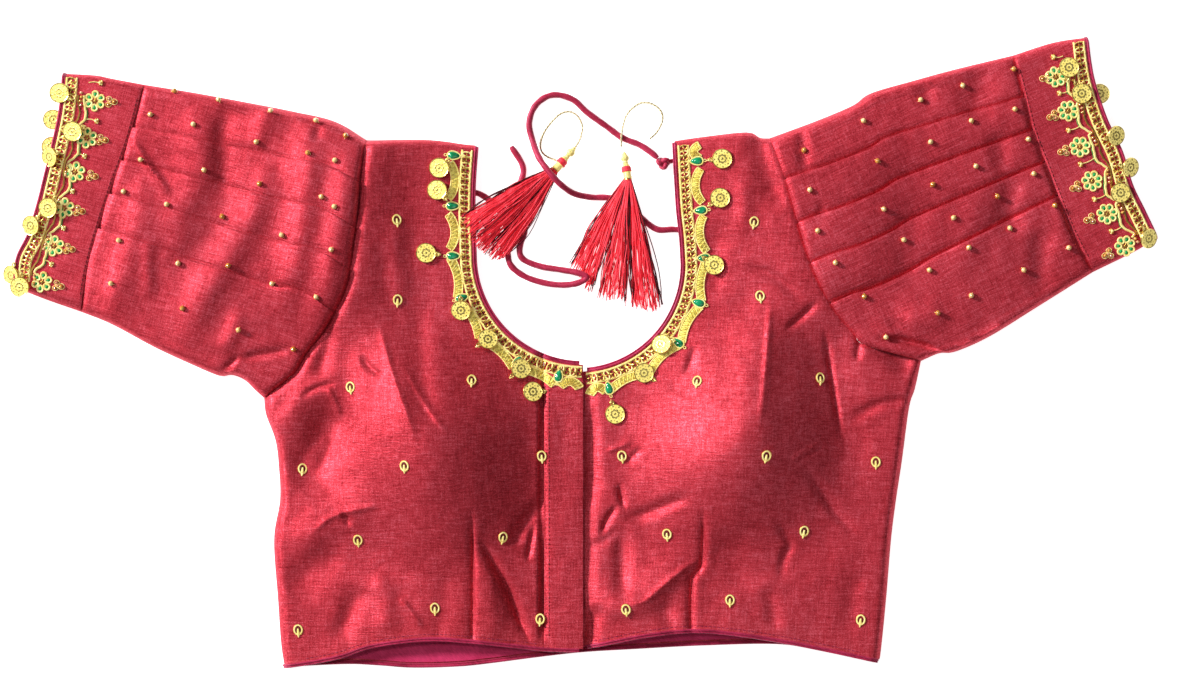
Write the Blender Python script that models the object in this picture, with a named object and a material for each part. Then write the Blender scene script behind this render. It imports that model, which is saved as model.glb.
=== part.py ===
"""A choli blouse laid flat on its back: two cupped fronts with a placket, tucked sleeves with cuffs,
beaded neck and cuff trim with sewn coins, and two back ties with tassels in the neck opening.

Lengths are in millimetres until solid() and tube() turn them into metres. Seen from above, +X points
to the wearer's left, +Y to the shoulders, and +Z away from the surface that the blouse lies on.
Everything hangs from one empty, which moves the origin to under the middle of the blouse.
"""

import math

import bmesh
import bpy
from mathutils import Vector
from mathutils.bvhtree import BVHTree
from mathutils.geometry import delaunay_2d_cdt

MM = 0.001
SIDES = ("right", "left")

# Cloth and seams
WALL = 1.2               # silk with its backing
GAP = 0.3                # between pieces that touch
PIPING = 3.0             # diameter of the rolled edges
STEP = 10.0              # spacing of points along an outline
GRID = 16.0              # spacing of points inside a front
LONG_STEP = 16.0         # spacing of points along straighter edges

# Body, heights over the surface
BODY_TOP = 10.0          # outer face of the fronts
NECK_TOP = 8.5           # the same at the neck edge
NECK_SLOPE = 30.0        # how far from the neck edge it reaches BODY_TOP
HEM_SLOPE = 60.0         # how far from the hem the hem's own height fades
SIDE_ROUND = 11.0        # the fronts curve down to the side seams over this width
SHOULDER_ROUND = 8.0     # and over this one to the shoulder seams
SEAM_FOOT = 0.5          # lower edge of the fronts along those seams
ROUND_ANGLES = (35, 62, 90)
PLACKET_WIDTH = 27.3
PLACKET_WALL = 1.8       # folded double
PLACKET_PROUD = 0.8
UNDERLAP = 20.0          # the left front's width under the placket
UNDERLAP_DROP = 2.4
UNDERLAP_SLOPE = 9.0
BACK_INSET = WALL + 0.8  # the back ends this far inside the front's side and shoulder seams
FACING_WIDTH = 16.0
FACING_ENDS = (-198.0, 194.0)
FACING_WALL = 0.8

# Neck edge: an arc (centre x, centre y, radius), then points up to the shoulder (x, y)
NECK_ARC = {"right": (0.0, 290.0, 74.4), "left": (-4.0, 283.0, 72.3)}
NECK_START = {"right": 8.0, "left": -28.0}   # x where the arc starts, past the panels' middle edges
NECK_UPPER = {
    "right": ((-75.3, 318), (-74.9, 342), (-73.1, 367), (-72.8, 375)),
    "left": ((67.2, 302), (65.1, 321), (63.7, 343), (62.3, 370), (61.9, 378)),
}
# The back's neck, hidden under the fronts' edge: an arc, and points up from it to the shoulders (x, y)
BACK_NECK_ARC = (-2.0, 286.0, 79.5)
BACK_NECK_UPPER = {"right": ((-80.5, 318), (-79.5, 342), (-78.5, 380)),
                   "left": ((73, 308), (70, 325), (68.5, 345), (67.3, 384))}
# Shoulder seam from the neck out (x, y)
SHOULDER = {
    "right": ((-66, 366.2), (-84, 367.8), (-96, 369.6), (-114, 371), (-152, 370.6)),
    "left": ((55, 368.6), (83, 372.8), (115, 376.2), (124, 372.4), (131, 372)),
}
# Armhole seam from the shoulder down (x, y)
ARMHOLE = {
    "right": ((-152, 370.6), (-155.4, 345), (-157.5, 319), (-160, 301), (-165, 269), (-178, 242),
              (-194, 221), (-203, 206.5), (-224, 189.7)),
    "left": ((131, 372), (141.4, 342.6), (149.5, 315), (159.3, 284), (173, 256), (189, 236.6),
             (197, 227), (237.3, 215.6)),
}
# Side seam from the armhole down (x, y)
SIDE_SEAM = {
    "right": ((-224, 189.7), (-222.6, 178), (-216, 160), (-213.6, 141), (-212.8, 118), (-217, 90),
              (-214.2, 48), (-212, 17), (-209.3, 0)),
    "left": ((237.3, 215.6), (233, 196), (229, 183), (224, 146), (219.8, 118), (216.3, 90),
             (212.8, 48), (208.6, 8), (206, 2)),
}
# Lower edge of the front's piping, from the side seam in (x, y, height of the cloth over the surface)
FRONT_HEM = {
    "right": ((-209.3, 0, 8), (-187, 3.5, 8), (-168, 7.7, 9), (-150, 14, 11), (-127, 18, 13),
              (-104, 19.6, 14), (-79, 18, 13), (-48, 14.7, 11), (-27, 12.3, 10), (0, 11.6, 10)),
    "left": ((206, 4, 8), (170.5, 11.7, 8), (136.5, 18.4, 10), (103, 23.5, 12), (75.6, 25.2, 13),
             (43.4, 21.8, 12), (3, 14, 10), (-22, 13, 10)),
}
# Lower edge of the back's piping, from the wearer's right to left (x, y)
BACK_HEM = ((-216, 0.4), (-168, 2.8), (-143.5, 1.9), (-120, 0.3), (-87.5, 1.1), (-64, 3.5),
            (-31.5, 7.7), (0, 11.2), (35, 13.3), (85, 15.9), (136.5, 16.8), (170, 11.9), (216, 5))
# Cups: centre (x, y), half widths (across, up), height over the cloth round them
CUPS = {"right": (-102, 158, 74, 80, 33), "left": (110, 158, 74, 80, 33)}
CUP_FALL = 1.25          # exponent of the dome
# Waist darts from the hem to the cup (x, y)
DARTS = {
    "right": ((-77.5, 22), (-77, 76), (-77.5, 116)),
    "left": ((75.5, 28), (76.5, 62), (83, 74), (84, 120)),
}
DART_DEPTH = 1.6
DART_HALF_WIDTH = 3.5
# Main folds of the fronts: from (x, y) to (x, y), half width, height (a trough's is negative)
FOLDS = {
    "right": ((-163, 218, -150, 195, 8, 3.0), (-144, 113, -189, 94, 8, 3.5),
              (-168, 107, -137, 56, 9, 3.0), (-76, 94, -38, 24, 9, -3.0), (-29, 112, -43, 76, 8, -2.0)),
    "left": ((184, 173, 226, 190, 8, 3.0), (172, 228, 181, 181, 8, -3.0), (167, 125, 190, 93, 8, -2.5),
             (36, 48, 82, 78, 9, 2.5), (28, 111, 74, 122, 8, -2.5)),
}

# Sleeves, flattened tubes: their edges from the body out (x, y)
SLEEVE_UPPER = {
    "right": ((-152, 370.6), (-174, 383.6), (-203, 390.6), (-239, 397.6), (-274, 404), (-308, 409.5)),
    "left": ((131, 372), (163, 383.8), (189, 394.8), (202, 403.5), (232, 412.3), (261, 420.2),
             (301.7, 430)),
}
SLEEVE_LOWER = {
    "right": ((-224, 189.7), (-230.4, 195.5), (-237, 202), (-246.4, 205.8), (-255, 205.1), (-276, 213.8),
              (-301, 225.4), (-331, 241.5), (-352, 250)),
    "left": ((237.3, 215.6), (250, 221), (261, 222), (285, 232.6), (320, 254.2), (357.7, 277.9)),
}
# Seam between sleeve and cuff, from the upper edge down (x, y)
CUFF_SEAM = {
    "right": ((-308, 409.5), (-317, 374.5), (-329.7, 339), (-338.5, 312), (-347.4, 280), (-352, 250)),
    "left": ((301.7, 430), (309.4, 400.5), (315.4, 377), (324, 354.4), (333, 331), (343.7, 305),
             (357.7, 277.9)),
}
CUFF_UPPER = {
    "right": ((-308, 409.5), (-331, 413.8), (-342, 416), (-365.1, 417.3)),
    "left": ((301.7, 430), (330, 439), (354, 442.7)),
}
CUFF_LOWER = {
    "right": ((-352, 250), (-381.5, 260.4), (-399, 268)),
    "left": ((357.7, 277.9), (386.4, 292), (403, 302)),
}
# Open edge of the cuff, from the upper edge down (x, y)
CUFF_EDGE = {
    "right": ((-365.1, 417.3), (-366, 401.8), (-369, 381.6), (-378, 343.7), (-382.4, 326),
              (-389, 304.6), (-397, 288), (-399, 268)),
    "left": ((354, 442.7), (356, 425), (359.3, 409), (367.5, 384.7), (378, 362.6), (385, 339.5),
             (394, 320.8), (403, 302)),
}
SLEEVE_TOP = 11.5        # outer face of a sleeve over the surface
SLEEVE_ARCH = 2.0        # more than that along its middle
CUFF_TOP = 10.0
SLEEVE_ROUND = 9.0       # rounding of a tube's two long edges
SLEEVE_FOOT = 2.6        # where that rounding meets the underside
SLEEVE_GAP = 0.9         # along the sleeve, to the armhole's slanting edge
TUCK_STEP = 1.7          # height of a tuck's folded edge over the cloth above it
TUCK_SLIT = 0.5          # air under the fold
TUCK_LAP = 2.4           # how far the cloth above runs under the fold
# Each tuck's place across the sleeve, as shares of its width at the armhole and at the cuff
TUCKS = ((0.154, 0.19), (0.31, 0.337), (0.455, 0.486), (0.61, 0.64))
SLEEVE_RINGS = (0.0, 0.035, 0.18, 0.34, 0.5, 0.66, 0.82, 0.965, 1.0)
CUFF_RINGS = (0.0, 0.33, 0.66, 1.0)

# Neck trim: where its stones sit (x, y), from the shoulder to the middle
STONES = {
    "right": ((-90.6, 359.5), (-91.4, 324.1), (-91, 289.1), (-85, 259.7), (-67.2, 233.8),
              (-45.9, 214.9), (-17.1, 205.1)),
    "left": ((79.8, 355.6), (82.6, 321), (84.7, 287.7), (81.2, 256.2), (66.9, 228.2), (43.4, 210.7),
             (18.2, 196.4)),
}
# Share of the way from one stone to the next, distance of the outer edge from the neck edge, and
# height, over one crescent
NECK_REPEAT = ((0.0, 21.5, 3.0), (0.1, 20.0, 2.6), (0.15, 14.5, 1.6), (0.22, 21.5, 2.2),
               (0.4, 21.0, 2.6), (0.6, 21.0, 2.6), (0.78, 21.5, 2.2), (0.85, 14.5, 1.6),
               (0.9, 20.0, 2.6))
# Cuff trim: the same from one flower to the next, and its first and last flower along the edge
CUFF_REPEAT = ((0.0, 35.0, 2.2), (0.13, 30.0, 2.0), (0.24, 22.0, 1.8), (0.36, 17.0, 1.5),
               (0.5, 24.0, 1.6), (0.64, 17.0, 1.5), (0.76, 22.0, 1.8), (0.87, 30.0, 2.0))
CUFF_FLOWERS = {"right": (0.14, 0.87, 6), "left": (0.06, 0.87, 7)}  # first, last, how many
BAND = (4.0, 13.5)       # the chain band's edges, from the cloth's edge
BAND_RELIEF = 1.6
TRIM_LIFT = 0.55         # clear of the cloth's facets

# Coins
COIN = 14.0
COIN_WALL = 1.1
EYELET = 3.2             # width of the lug that its ring goes through
EYELET_REACH = 2.6
COIN_SIDES = 10
COIN_LIFT = 0.35
# Place (x, y), direction of the eyelet in degrees
NECK_COINS = {
    "right": ((-100.8, 350.7, 41), (-102.2, 335.3, -46), (-109.9, 291.2, -6), (-85.4, 251.0, 90),
              (-66.5, 231, -145), (-43.3, 210.3, -142), (-35, 194.2, 4)),
    "left": ((97.3, 357, -175), (95.9, 329.7, -147), (91.7, 282.8, 145), (54.6, 227.5, 11),
             (42.7, 207.2, -35), (22.4, 178.5, 105)),
}
CUFF_OUT = {"right": (-1, -0.25), "left": (1, -0.35)}   # the way out past the cuff's edge
# The same, and the slope down that way in degrees
CUFF_COINS = {
    "right": ((-366.5, 403.2, -30, 8), (-357.1, 376.2, 20, 10), (-373.5, 358.4, 20, 38),
              (-374.2, 322.7, 50, 18), (-386.5, 310.3, 40, 30), (-401.0, 275.5, 60, 38),
              (-394.1, 267.4, 80, 16)),
    "left": ((339.9, 421, -100, 2), (348.7, 402.6, 120, 6), (373.1, 373.1, 190, 30),
             (383.5, 351, 170, 34), (375.9, 333.2, 100, 10), (396.1, 301.2, 130, 34)),
}
# Coins that slipped in behind the cuff's open edge, on its lower piping: place, direction of the eyelet
TUCKED_COINS = {
    "right": ((-371.8, 385.0, -20), (-372.9, 365.9, 20)),
    "left": ((362.4, 403.0, 190),),
}

# Back ties: radius, and their routes on the surface from the back's neck edge (x, y, z)
TIE_RADIUS = 2.2
TIE_STEP = 8.5
TIE_ROUTES = {
    "left": ((72, 307.3, 2.6), (63, 308, 2.5), (52, 308, 2.5), (42, 315, 2.5), (32, 325, 2.5),
             (18.9, 330, 2.5), (5.6, 330.5, 3.5), (-6.5, 333, 8), (-16, 339.5, 13.6), (-23.4, 347.5, 15.5),
             (-30.8, 358, 11.5), (-35.6, 371, 4), (-37.8, 382, 2.5), (-34.6, 393, 2.5), (-27, 400.3, 2.5),
             (-17.7, 402.3, 2.5), (-6.5, 398.6, 2.5), (2.9, 390, 2.5), (17, 379.8, 2.5),
             (27.3, 372.3, 2.5), (39.2, 367.5, 2.6), (47, 362.4, 3.2), (52.3, 358, 3.7)),
    "right": ((-79.3, 333, 2.6), (-73, 333, 2.5), (-62, 326, 2.5), (-50, 318, 2.5), (-41, 309, 2.5),
              (-44.5, 295, 2.5), (-42, 287, 2.5), (-30, 282, 3.2), (-16, 279.6, 5.6), (-4, 277.4, 7.6),
              (2.5, 274.3, 7.8), (-3, 270.4, 7.4), (-14, 268.9, 5.2), (-27, 270.4, 3.0),
              (-41, 275, 2.5), (-50.5, 282.5, 2.5), (-53, 292, 2.5), (-54, 304, 2.5),
              (-50.5, 326, 2.5), (-43, 343, 2.5), (-42.5, 353, 2.5), (-50.4, 366.1, 2.5)),
}
TIE_KNOT = (56.3, 354.4, 4.2)
TIE_KNOT_SIZE = (5.2, 4.6, 3.9)

# Tassels. Root: where the strands leave the head (x, y, z). Tips: the fan's ends, side to side (x, y, z)
TASSELS = {
    "right": {
        "root": (-19.5, 349.5, 8.2), "end": (-5.5, 365.4, 5.0), "columns": 10, "layers": 3,
        "tips": ((-84, 318, 15.5), (-79, 304, 15.0), (-70, 294, 9.5), (-61, 288, 6.0), (-50, 292, 5.0)),
    },
    "left": {
        "root": (31.3, 343, 8.2), "end": (28.7, 362, 5.0), "columns": 11, "layers": 3,
        "tips": ((-9, 285, 1.6), (-1, 272, 1.6), (9, 263, 1.6), (20, 259, 1.6), (27, 257, 1.6),
                 (36, 254, 1.6), (47, 252, 1.6), (56, 256, 1.6)),
    },
}
STRAND_PITCH = 1.5
STRAND_ROOT = 1.0        # width of a strand at the head and at its tip
STRAND_TIP = 0.8
STRAND_SECTIONS = 2
LAYER_PITCH_TIP = 1.3
HEAD_LENGTH = 5.0
# Turned profile of a cap, from the head (share of its length, radius)
CAP_PROFILE = ((0.0, 3.6), (0.25, 2.9), (0.42, 1.9), (0.55, 1.8), (0.62, 2.7), (0.8, 2.6), (0.9, 1.6),
               (1.0, 1.0))
CAP_SIDES = 10
LOOP_RADIUS = 0.75
LOOP_STEP = 5.0
# Gold loops, from the cap round and back towards it (x, y, z)
LOOPS = {
    "right": ((-5.25, 365.7, 4.95), (-2.4, 370.6, 3.6), (-0.9, 376, 2.0), (-0.6, 380.5, 1.4),
              (-3.6, 387, 1.2), (-9, 390.6, 1.2), (-15.5, 389.3, 1.2), (-21.5, 384, 1.2),
              (-26.5, 377.4, 1.2), (-29.6, 370, 1.4), (-29.5, 363.5, 2.6), (-25.5, 359, 5.0),
              (-19.3, 356.4, 7.0)),
    "left": ((26.7, 366, 4.0), (27.2, 376, 5.8), (29.8, 386.6, 3.4), (34.6, 393, 1.4),
             (41.5, 397, 1.2), (49.0, 395.8, 1.2), (54.8, 390.6, 1.2), (55.6, 384, 1.2),
             (52, 376.5, 1.6), (47, 371.5, 3.6)),
}

# Finish: colour (r, g, b), roughness, metallic
FINISH = {
    "silk": ((0.42, 0.04, 0.05), 0.5, 0.0),
    "piping": ((0.38, 0.02, 0.09), 0.6, 0.0),
    "zari": ((0.72, 0.47, 0.12), 0.35, 0.9),
    "coin": ((0.83, 0.66, 0.2), 0.3, 1.0),
    "thread": ((0.6, 0.02, 0.04), 0.6, 0.0),
}


def spline(points, step):
    """Points about `step` apart on a smooth curve through `points`."""
    knots = [Vector(p) for p in points]
    knots = [2 * knots[0] - knots[1]] + knots + [2 * knots[-1] - knots[-2]]
    found = []
    for a, b, c, d in zip(knots, knots[1:], knots[2:], knots[3:]):
        count = max(1, round((c - b).length / step))
        for i in range(count):
            t = i / count
            found.append(
                0.5 * (2 * b + (c - a) * t + (2 * a - 5 * b + 4 * c - d) * t**2
                       + (3 * b - a - 3 * c + d) * t**3)
            )
    found.append(knots[-2])
    return found


def crossing(a, b, c, d):
    """Where the lines ab and cd cross, as shares along each."""
    first, second, between = b - a, d - c, c - a
    size = first.cross(second)
    return between.cross(second) / size, between.cross(first) / size


def cornered(first, second):
    """The two curves cut, or run on, to where the end of one crosses the start of the other."""
    for i in reversed(range(len(first) - 1)):
        for j in range(len(second) - 1):
            t, u = crossing(first[i], first[i + 1], second[j], second[j + 1])
            if -1e-6 <= t <= 1 + 1e-6 and -1e-6 <= u <= 1 + 1e-6:
                corner = first[i].lerp(first[i + 1], t)
                return first[: i + 1] + [corner], [corner] + second[j + 1:]
    t, _ = crossing(first[-2], first[-1], second[0], second[1])
    corner = first[-2].lerp(first[-1], t)
    return first[:-1] + [corner], [corner] + second[1:]


def outline_of(curves):
    """One closed outline from curves that meet, each running on to the next one's start."""
    curves = list(curves)
    for i in range(len(curves)):
        j = (i + 1) % len(curves)
        curves[i], curves[j] = cornered(curves[i], curves[j])
    return [p for curve in curves for p in curve[:-1]]


def moved_left(curve, distance):
    """The curve moved sideways, to the left of the way it runs."""
    moved = []
    for i, p in enumerate(curve):
        ahead = curve[min(i + 1, len(curve) - 1)] - curve[max(i - 1, 0)]
        moved.append(p + distance * Vector((-ahead.y, ahead.x)).normalized())
    return moved


class Curve:
    """A curve seen from above, measured along its length."""

    def __init__(self, points):
        self.points = [Vector(p[:2]) for p in points]
        self.starts = [0.0]
        for a, b in zip(self.points, self.points[1:]):
            self.starts.append(self.starts[-1] + (b - a).length)
        self.length = self.starts[-1]

    def at(self, distance):
        for i, (a, b) in enumerate(zip(self.points, self.points[1:])):
            if distance <= self.starts[i + 1] or i == len(self.points) - 2:
                return a.lerp(b, (distance - self.starts[i]) / (b - a).length)

    def left(self, distance):
        """The unit vector to the left of the curve."""
        ahead = self.at(distance + 0.5) - self.at(distance - 0.5)
        return Vector((-ahead.y, ahead.x)).normalized()

    def beside(self, distance, offset):
        return self.at(distance) + offset * self.left(distance)

    def nearest(self, point):
        """(distance along, distance away) of the closest place on the curve."""
        best = (0.0, math.inf)
        for a, b, start in zip(self.points, self.points[1:], self.starts):
            ahead = b - a
            t = min(max((point - a).dot(ahead) / ahead.length_squared, 0), 1)
            away = (point - a - ahead * t).length
            if away < best[1]:
                best = (start + t * ahead.length, away)
        return best


def arc_points(arc, first, last):
    """Points on an arc (centre x, centre y, radius) between two angles."""
    x, y, radius = arc
    count = round(radius * abs(last - first) / STEP)
    angles = [first + (last - first) * i / count for i in range(count + 1)]
    return [Vector((x + radius * math.cos(a), y + radius * math.sin(a))) for a in angles]


def neck_curve(side):
    """The front's neck edge, from the middle up past the shoulder."""
    x, _, radius = NECK_ARC[side]
    first = math.asin((NECK_START[side] - x) / radius) - math.pi / 2
    arc = arc_points(NECK_ARC[side], first, -math.pi if side == "right" else 0.0)
    return arc + spline([arc[-1], *NECK_UPPER[side]], STEP)[1:]


NECK = {side: Curve(neck_curve(side)) for side in SIDES}
SHOULDERS = {side: Curve(spline(SHOULDER[side], STEP)) for side in SIDES}
SIDE_SEAMS = {side: Curve(spline(SIDE_SEAM[side], STEP)) for side in SIDES}
DART_LINES = {side: Curve(spline(DARTS[side], STEP)) for side in SIDES}


def smooth_step(value):
    value = min(max(value, 0.0), 1.0)
    return value * value * (3 - 2 * value)


def quarter_round(distance, radius):
    """The height of a round edge at this distance in from it, as a share."""
    short = 1 - min(max(distance / radius, 0.0), 1.0)
    return math.sqrt(1 - short * short)


def hem_height(side, x):
    rows = sorted((row[0], row[2]) for row in FRONT_HEM[side])
    for (x0, z0), (x1, z1) in zip(rows, rows[1:]):
        if x <= x1:
            return z0 + (z1 - z0) * smooth_step((x - x0) / (x1 - x0))
    return rows[-1][1]


def fold_height(side, point):
    height = 0.0
    for x0, y0, x1, y1, half_width, rise in FOLDS[side]:
        ahead = Vector((x1 - x0, y1 - y0))
        along = (point - Vector((x0, y0))).dot(ahead) / ahead.length_squared
        away = (point - Vector((x0, y0)) - ahead * min(max(along, 0), 1)).length
        fade = smooth_step(along / 0.3 + 0.4) * smooth_step((1 - along) / 0.3 + 0.4)
        height += rise * fade * math.exp(-((away / half_width) ** 2))
    along, away = DART_LINES[side].nearest(point)
    fade = smooth_step((DART_LINES[side].length - along) / 30)
    return height - DART_DEPTH * fade * math.exp(-((away / DART_HALF_WIDTH) ** 2))


def cup_height(side, point):
    x, y, across, up, height = CUPS[side]
    off = ((point.x - x) / across) ** 2 + ((point.y - y) / up) ** 2
    return height * (1 - off) ** CUP_FALL if off < 1 else 0.0


def front_height(side, point):
    """Outer face of a front over the surface, seams and folds included."""
    neck = smooth_step(NECK[side].nearest(point)[1] / NECK_SLOPE)
    base = NECK_TOP + (BODY_TOP - NECK_TOP) * neck
    hem = smooth_step(1 - (point.y - 15) / HEM_SLOPE)
    base += (hem_height(side, point.x) - BODY_TOP) * hem
    full = base + cup_height(side, point) + fold_height(side, point)
    if side == "left":
        full -= UNDERLAP_DROP * smooth_step((3 + UNDERLAP_SLOPE - point.x) / UNDERLAP_SLOPE)
    share = quarter_round(SIDE_SEAMS[side].nearest(point)[1], SIDE_ROUND)
    share *= quarter_round(SHOULDERS[side].nearest(point)[1], SHOULDER_ROUND)
    return SEAM_FOOT + (full - SEAM_FOOT) * share


def front_inner(side, point, height):
    """The point of the inner face under this point: straight down, but turned in at a round edge."""
    slope = Vector((0.0, 0.0))
    for axis, step in enumerate((Vector((1, 0)), Vector((0, 1)))):
        slope[axis] = (front_height(side, point + step) - front_height(side, point - step)) / 2
    down = min(math.sqrt(1 + slope.length_squared), 1.5)
    inward = Vector((0.0, 0.0))
    for curve, radius in ((SIDE_SEAMS[side], SIDE_ROUND), (SHOULDERS[side], SHOULDER_ROUND)):
        along, away = curve.nearest(point)
        if away < radius:
            middle = Vector((CUPS[side][0], CUPS[side][1]))
            normal = curve.left(along)
            normal *= 1 if normal.dot(middle - curve.at(along)) > 0 else -1
            inward += normal * (1 - away / radius)
            down *= quarter_round(away, radius)
    if inward.length > 1:
        inward.normalize()
    place = point + inward * WALL
    return Vector((place.x, place.y, max(height - WALL * down, SEAM_FOOT - 0.3)))


def finish(name):
    """The material of this name, made once."""
    material = bpy.data.materials.get(name)
    if material is None:
        colour, roughness, metallic = FINISH[name]
        material = bpy.data.materials.new(name)
        material.use_nodes = True
        shader = material.node_tree.nodes["Principled BSDF"]
        shader.inputs["Base Color"].default_value = (*colour, 1)
        shader.inputs["Roughness"].default_value = roughness
        shader.inputs["Metallic"].default_value = metallic
    return material


def placed(name, data, material):
    data.materials.append(finish(material))
    node = bpy.data.objects.new(name, data)
    bpy.context.scene.collection.objects.link(node)
    return node


def solid(name, vertices, faces, material):
    """An object from points in millimetres, its faces turned outward."""
    mesh = bmesh.new()
    corners = [mesh.verts.new(Vector(v) * MM) for v in vertices]
    for face in faces:
        mesh.faces.new([corners[i] for i in face])
    bmesh.ops.recalc_face_normals(mesh, faces=mesh.faces)
    data = bpy.data.meshes.new(name)
    mesh.to_mesh(data)
    mesh.free()
    data.shade_smooth()
    data.set_sharp_from_angle(angle=math.radians(50))
    return placed(name, data, material)


def tube(name, points, radius, material, resolution=2):
    """A round cord through points in millimetres."""
    data = bpy.data.curves.new(name, "CURVE")
    data.dimensions = "3D"
    data.bevel_depth = radius * MM
    data.bevel_resolution = resolution
    data.use_fill_caps = True
    run = data.splines.new("POLY")
    run.points.add(len(points) - 1)
    for target, point in zip(run.points, points):
        target.co = (*(Vector(point) * MM), 1)
    return placed(name, data, material)


def is_inside(outline, point):
    inside = False
    for a, b in zip(outline, outline[1:] + outline[:1]):
        if (a.y > point.y) != (b.y > point.y):
            if point.x < a.x + (point.y - a.y) / (b.y - a.y) * (b.x - a.x):
                inside = not inside
    return inside


def panel(name, outline, inner_points, inner_edges, outer, inner, material):
    """A cloth wall over `outline`. outer(point) is a point's height, inner(point, height) the point
    of the other face under it."""
    count = len(outline)
    loop = [(i, (i + 1) % count) for i in range(count)]
    edges = loop + [(a + count, b + count) for a, b in inner_edges]
    flat, _, faces, _, _, _ = delaunay_2d_cdt(
        outline + inner_points, edges, [list(range(count))], 1, 1e-4
    )
    top = [Vector((p.x, p.y, outer(p))) for p in flat]
    under = [inner(p, t.z) for p, t in zip(flat, top)]
    sides = {}
    for face in faces:
        for a, b in zip(face, list(face[1:]) + [face[0]]):
            sides[(a, b)] = sides.get((a, b), 0) + 1
    rim = [(a, b) for a, b in sides if (b, a) not in sides]
    size = len(flat)
    whole = [list(f) for f in faces]
    whole += [[i + size for i in reversed(f)] for f in faces]
    whole += [[b, a, a + size, b + size] for a, b in rim]
    return solid(name, top + under, whole, material)


def edge_rows(curve, outline, radius, inside_of):
    """Points along a round edge, in rows where its arc turns."""
    rows = []
    count = round(curve.length / STEP)
    for angle in ROUND_ANGLES:
        offset = radius * (1 - math.cos(math.radians(angle)))
        for i in range(1, count):
            along = curve.length * i / count
            for turn in (1, -1):
                point = curve.beside(along, turn * offset)
                far = min((point - p).length for p in outline) > 0.9 * offset
                if far and is_inside(outline, point) and inside_of(point):
                    rows.append(point)
    return rows


def front_points(side, outline):
    """Points inside a front: rows along its round edges, beside its dart, and a staggered grid."""
    edge = Curve(outline + outline[:1])
    rows = edge_rows(SIDE_SEAMS[side], outline, SIDE_ROUND, lambda p: True)
    rows += edge_rows(SHOULDERS[side], outline, SHOULDER_ROUND,
                      lambda p: SIDE_SEAMS[side].nearest(p)[1] > SIDE_ROUND)
    dart = DART_LINES[side]
    count = round(dart.length / STEP)
    start = len(rows)
    darts = [dart.at(dart.length * i / count) for i in range(count + 1)]
    rows += [p for p in darts if edge.nearest(p)[1] > 3]
    edges = [(i, i + 1) for i in range(start, len(rows) - 1)]
    for offset in (-DART_HALF_WIDTH - 2, DART_HALF_WIDTH + 2):
        beside = [dart.beside(dart.length * i / count, offset) for i in range(1, count)]
        rows += [p for p in beside if edge.nearest(p)[1] > 3]
    xs, ys = [p.x for p in outline], [p.y for p in outline]
    row, y = 0, min(ys)
    while y < max(ys):
        x = min(xs) + (row % 2) * GRID / 2
        while x < max(xs):
            point = Vector((x, y))
            clear = (
                is_inside(outline, point)
                and edge.nearest(point)[1] > 0.55 * GRID
                and SIDE_SEAMS[side].nearest(point)[1] > SIDE_ROUND + 0.45 * GRID
                and SHOULDERS[side].nearest(point)[1] > SHOULDER_ROUND + 0.45 * GRID
                and dart.nearest(point)[1] > DART_HALF_WIDTH + 2 + 0.4 * GRID
            )
            if clear:
                rows.append(point)
            x += GRID
        y += GRID * 0.866
        row += 1
    return rows, edges


def hem_curve(side, lift, step=STEP):
    """The front's hem line, from the side seam in, moved up into the cloth by `lift`."""
    line = spline([row[:2] for row in FRONT_HEM[side]], step)
    return moved_left(line, lift if side == "right" else -lift)


def straight(x, low, high):
    """An upright line from low to high."""
    count = round((high - low) / STEP)
    return [Vector((x, low + (high - low) * i / count)) for i in range(count + 1)]


def front(side):
    """A front panel, with its cup, dart and folds. The left one's edge runs under the placket."""
    edge = PIPING + GAP
    into_cloth = edge if side == "right" else -edge
    middle = -PLACKET_WIDTH - GAP if side == "right" else -UNDERLAP
    outline = outline_of([
        moved_left(neck_curve(side), into_cloth), SHOULDERS[side].points, spline(ARMHOLE[side], STEP),
        SIDE_SEAMS[side].points, hem_curve(side, edge), straight(middle, 0, 235),
    ])
    if side == "left":
        outline.reverse()
    rows, edges = front_points(side, outline)
    return panel(
        f"front_{side}", outline, rows, edges,
        lambda p: front_height(side, p),
        lambda p, height: front_inner(side, p, height),
        "silk",
    )


def placket():
    """The folded band along the right front's edge."""
    edge = PIPING + GAP
    outline = outline_of([
        moved_left(neck_curve("right"), edge), straight(-PLACKET_WIDTH, 0, 235)[::-1],
        hem_curve("right", edge), straight(0, 0, 235),
    ])
    middle = [Vector((-PLACKET_WIDTH / 2, p.y)) for p in straight(0, 24, 204)]
    return panel(
        "placket", outline, middle, [],
        lambda p: front_height("right", p) + PLACKET_PROUD,
        lambda p, height: Vector((p.x, p.y, height - PLACKET_WALL)),
        "silk",
    )


def back():
    """The flat back, which the blouse rests on."""
    right, left = BACK_NECK_UPPER["right"], BACK_NECK_UPPER["left"]
    arc = arc_points(BACK_NECK_ARC, math.radians(-5), math.radians(-175))
    neck = spline(left[::-1], STEP)[:-1] + arc + spline(right, STEP)[1:]
    inset = {side: BACK_INSET if side == "right" else -BACK_INSET for side in SIDES}
    hem = moved_left(spline(BACK_HEM, LONG_STEP), PIPING + GAP)
    outline = outline_of([
        neck,
        moved_left(SHOULDERS["right"].points, inset["right"]),
        spline(ARMHOLE["right"], STEP),
        moved_left(SIDE_SEAMS["right"].points, inset["right"]),
        hem,
        moved_left(SIDE_SEAMS["left"].points, inset["left"])[::-1],
        spline(ARMHOLE["left"], STEP)[::-1],
        moved_left(SHOULDERS["left"].points, inset["left"])[::-1],
    ])
    return panel("back", outline, [], [], lambda p: WALL, lambda p, height: p.to_3d(), "silk")


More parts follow.
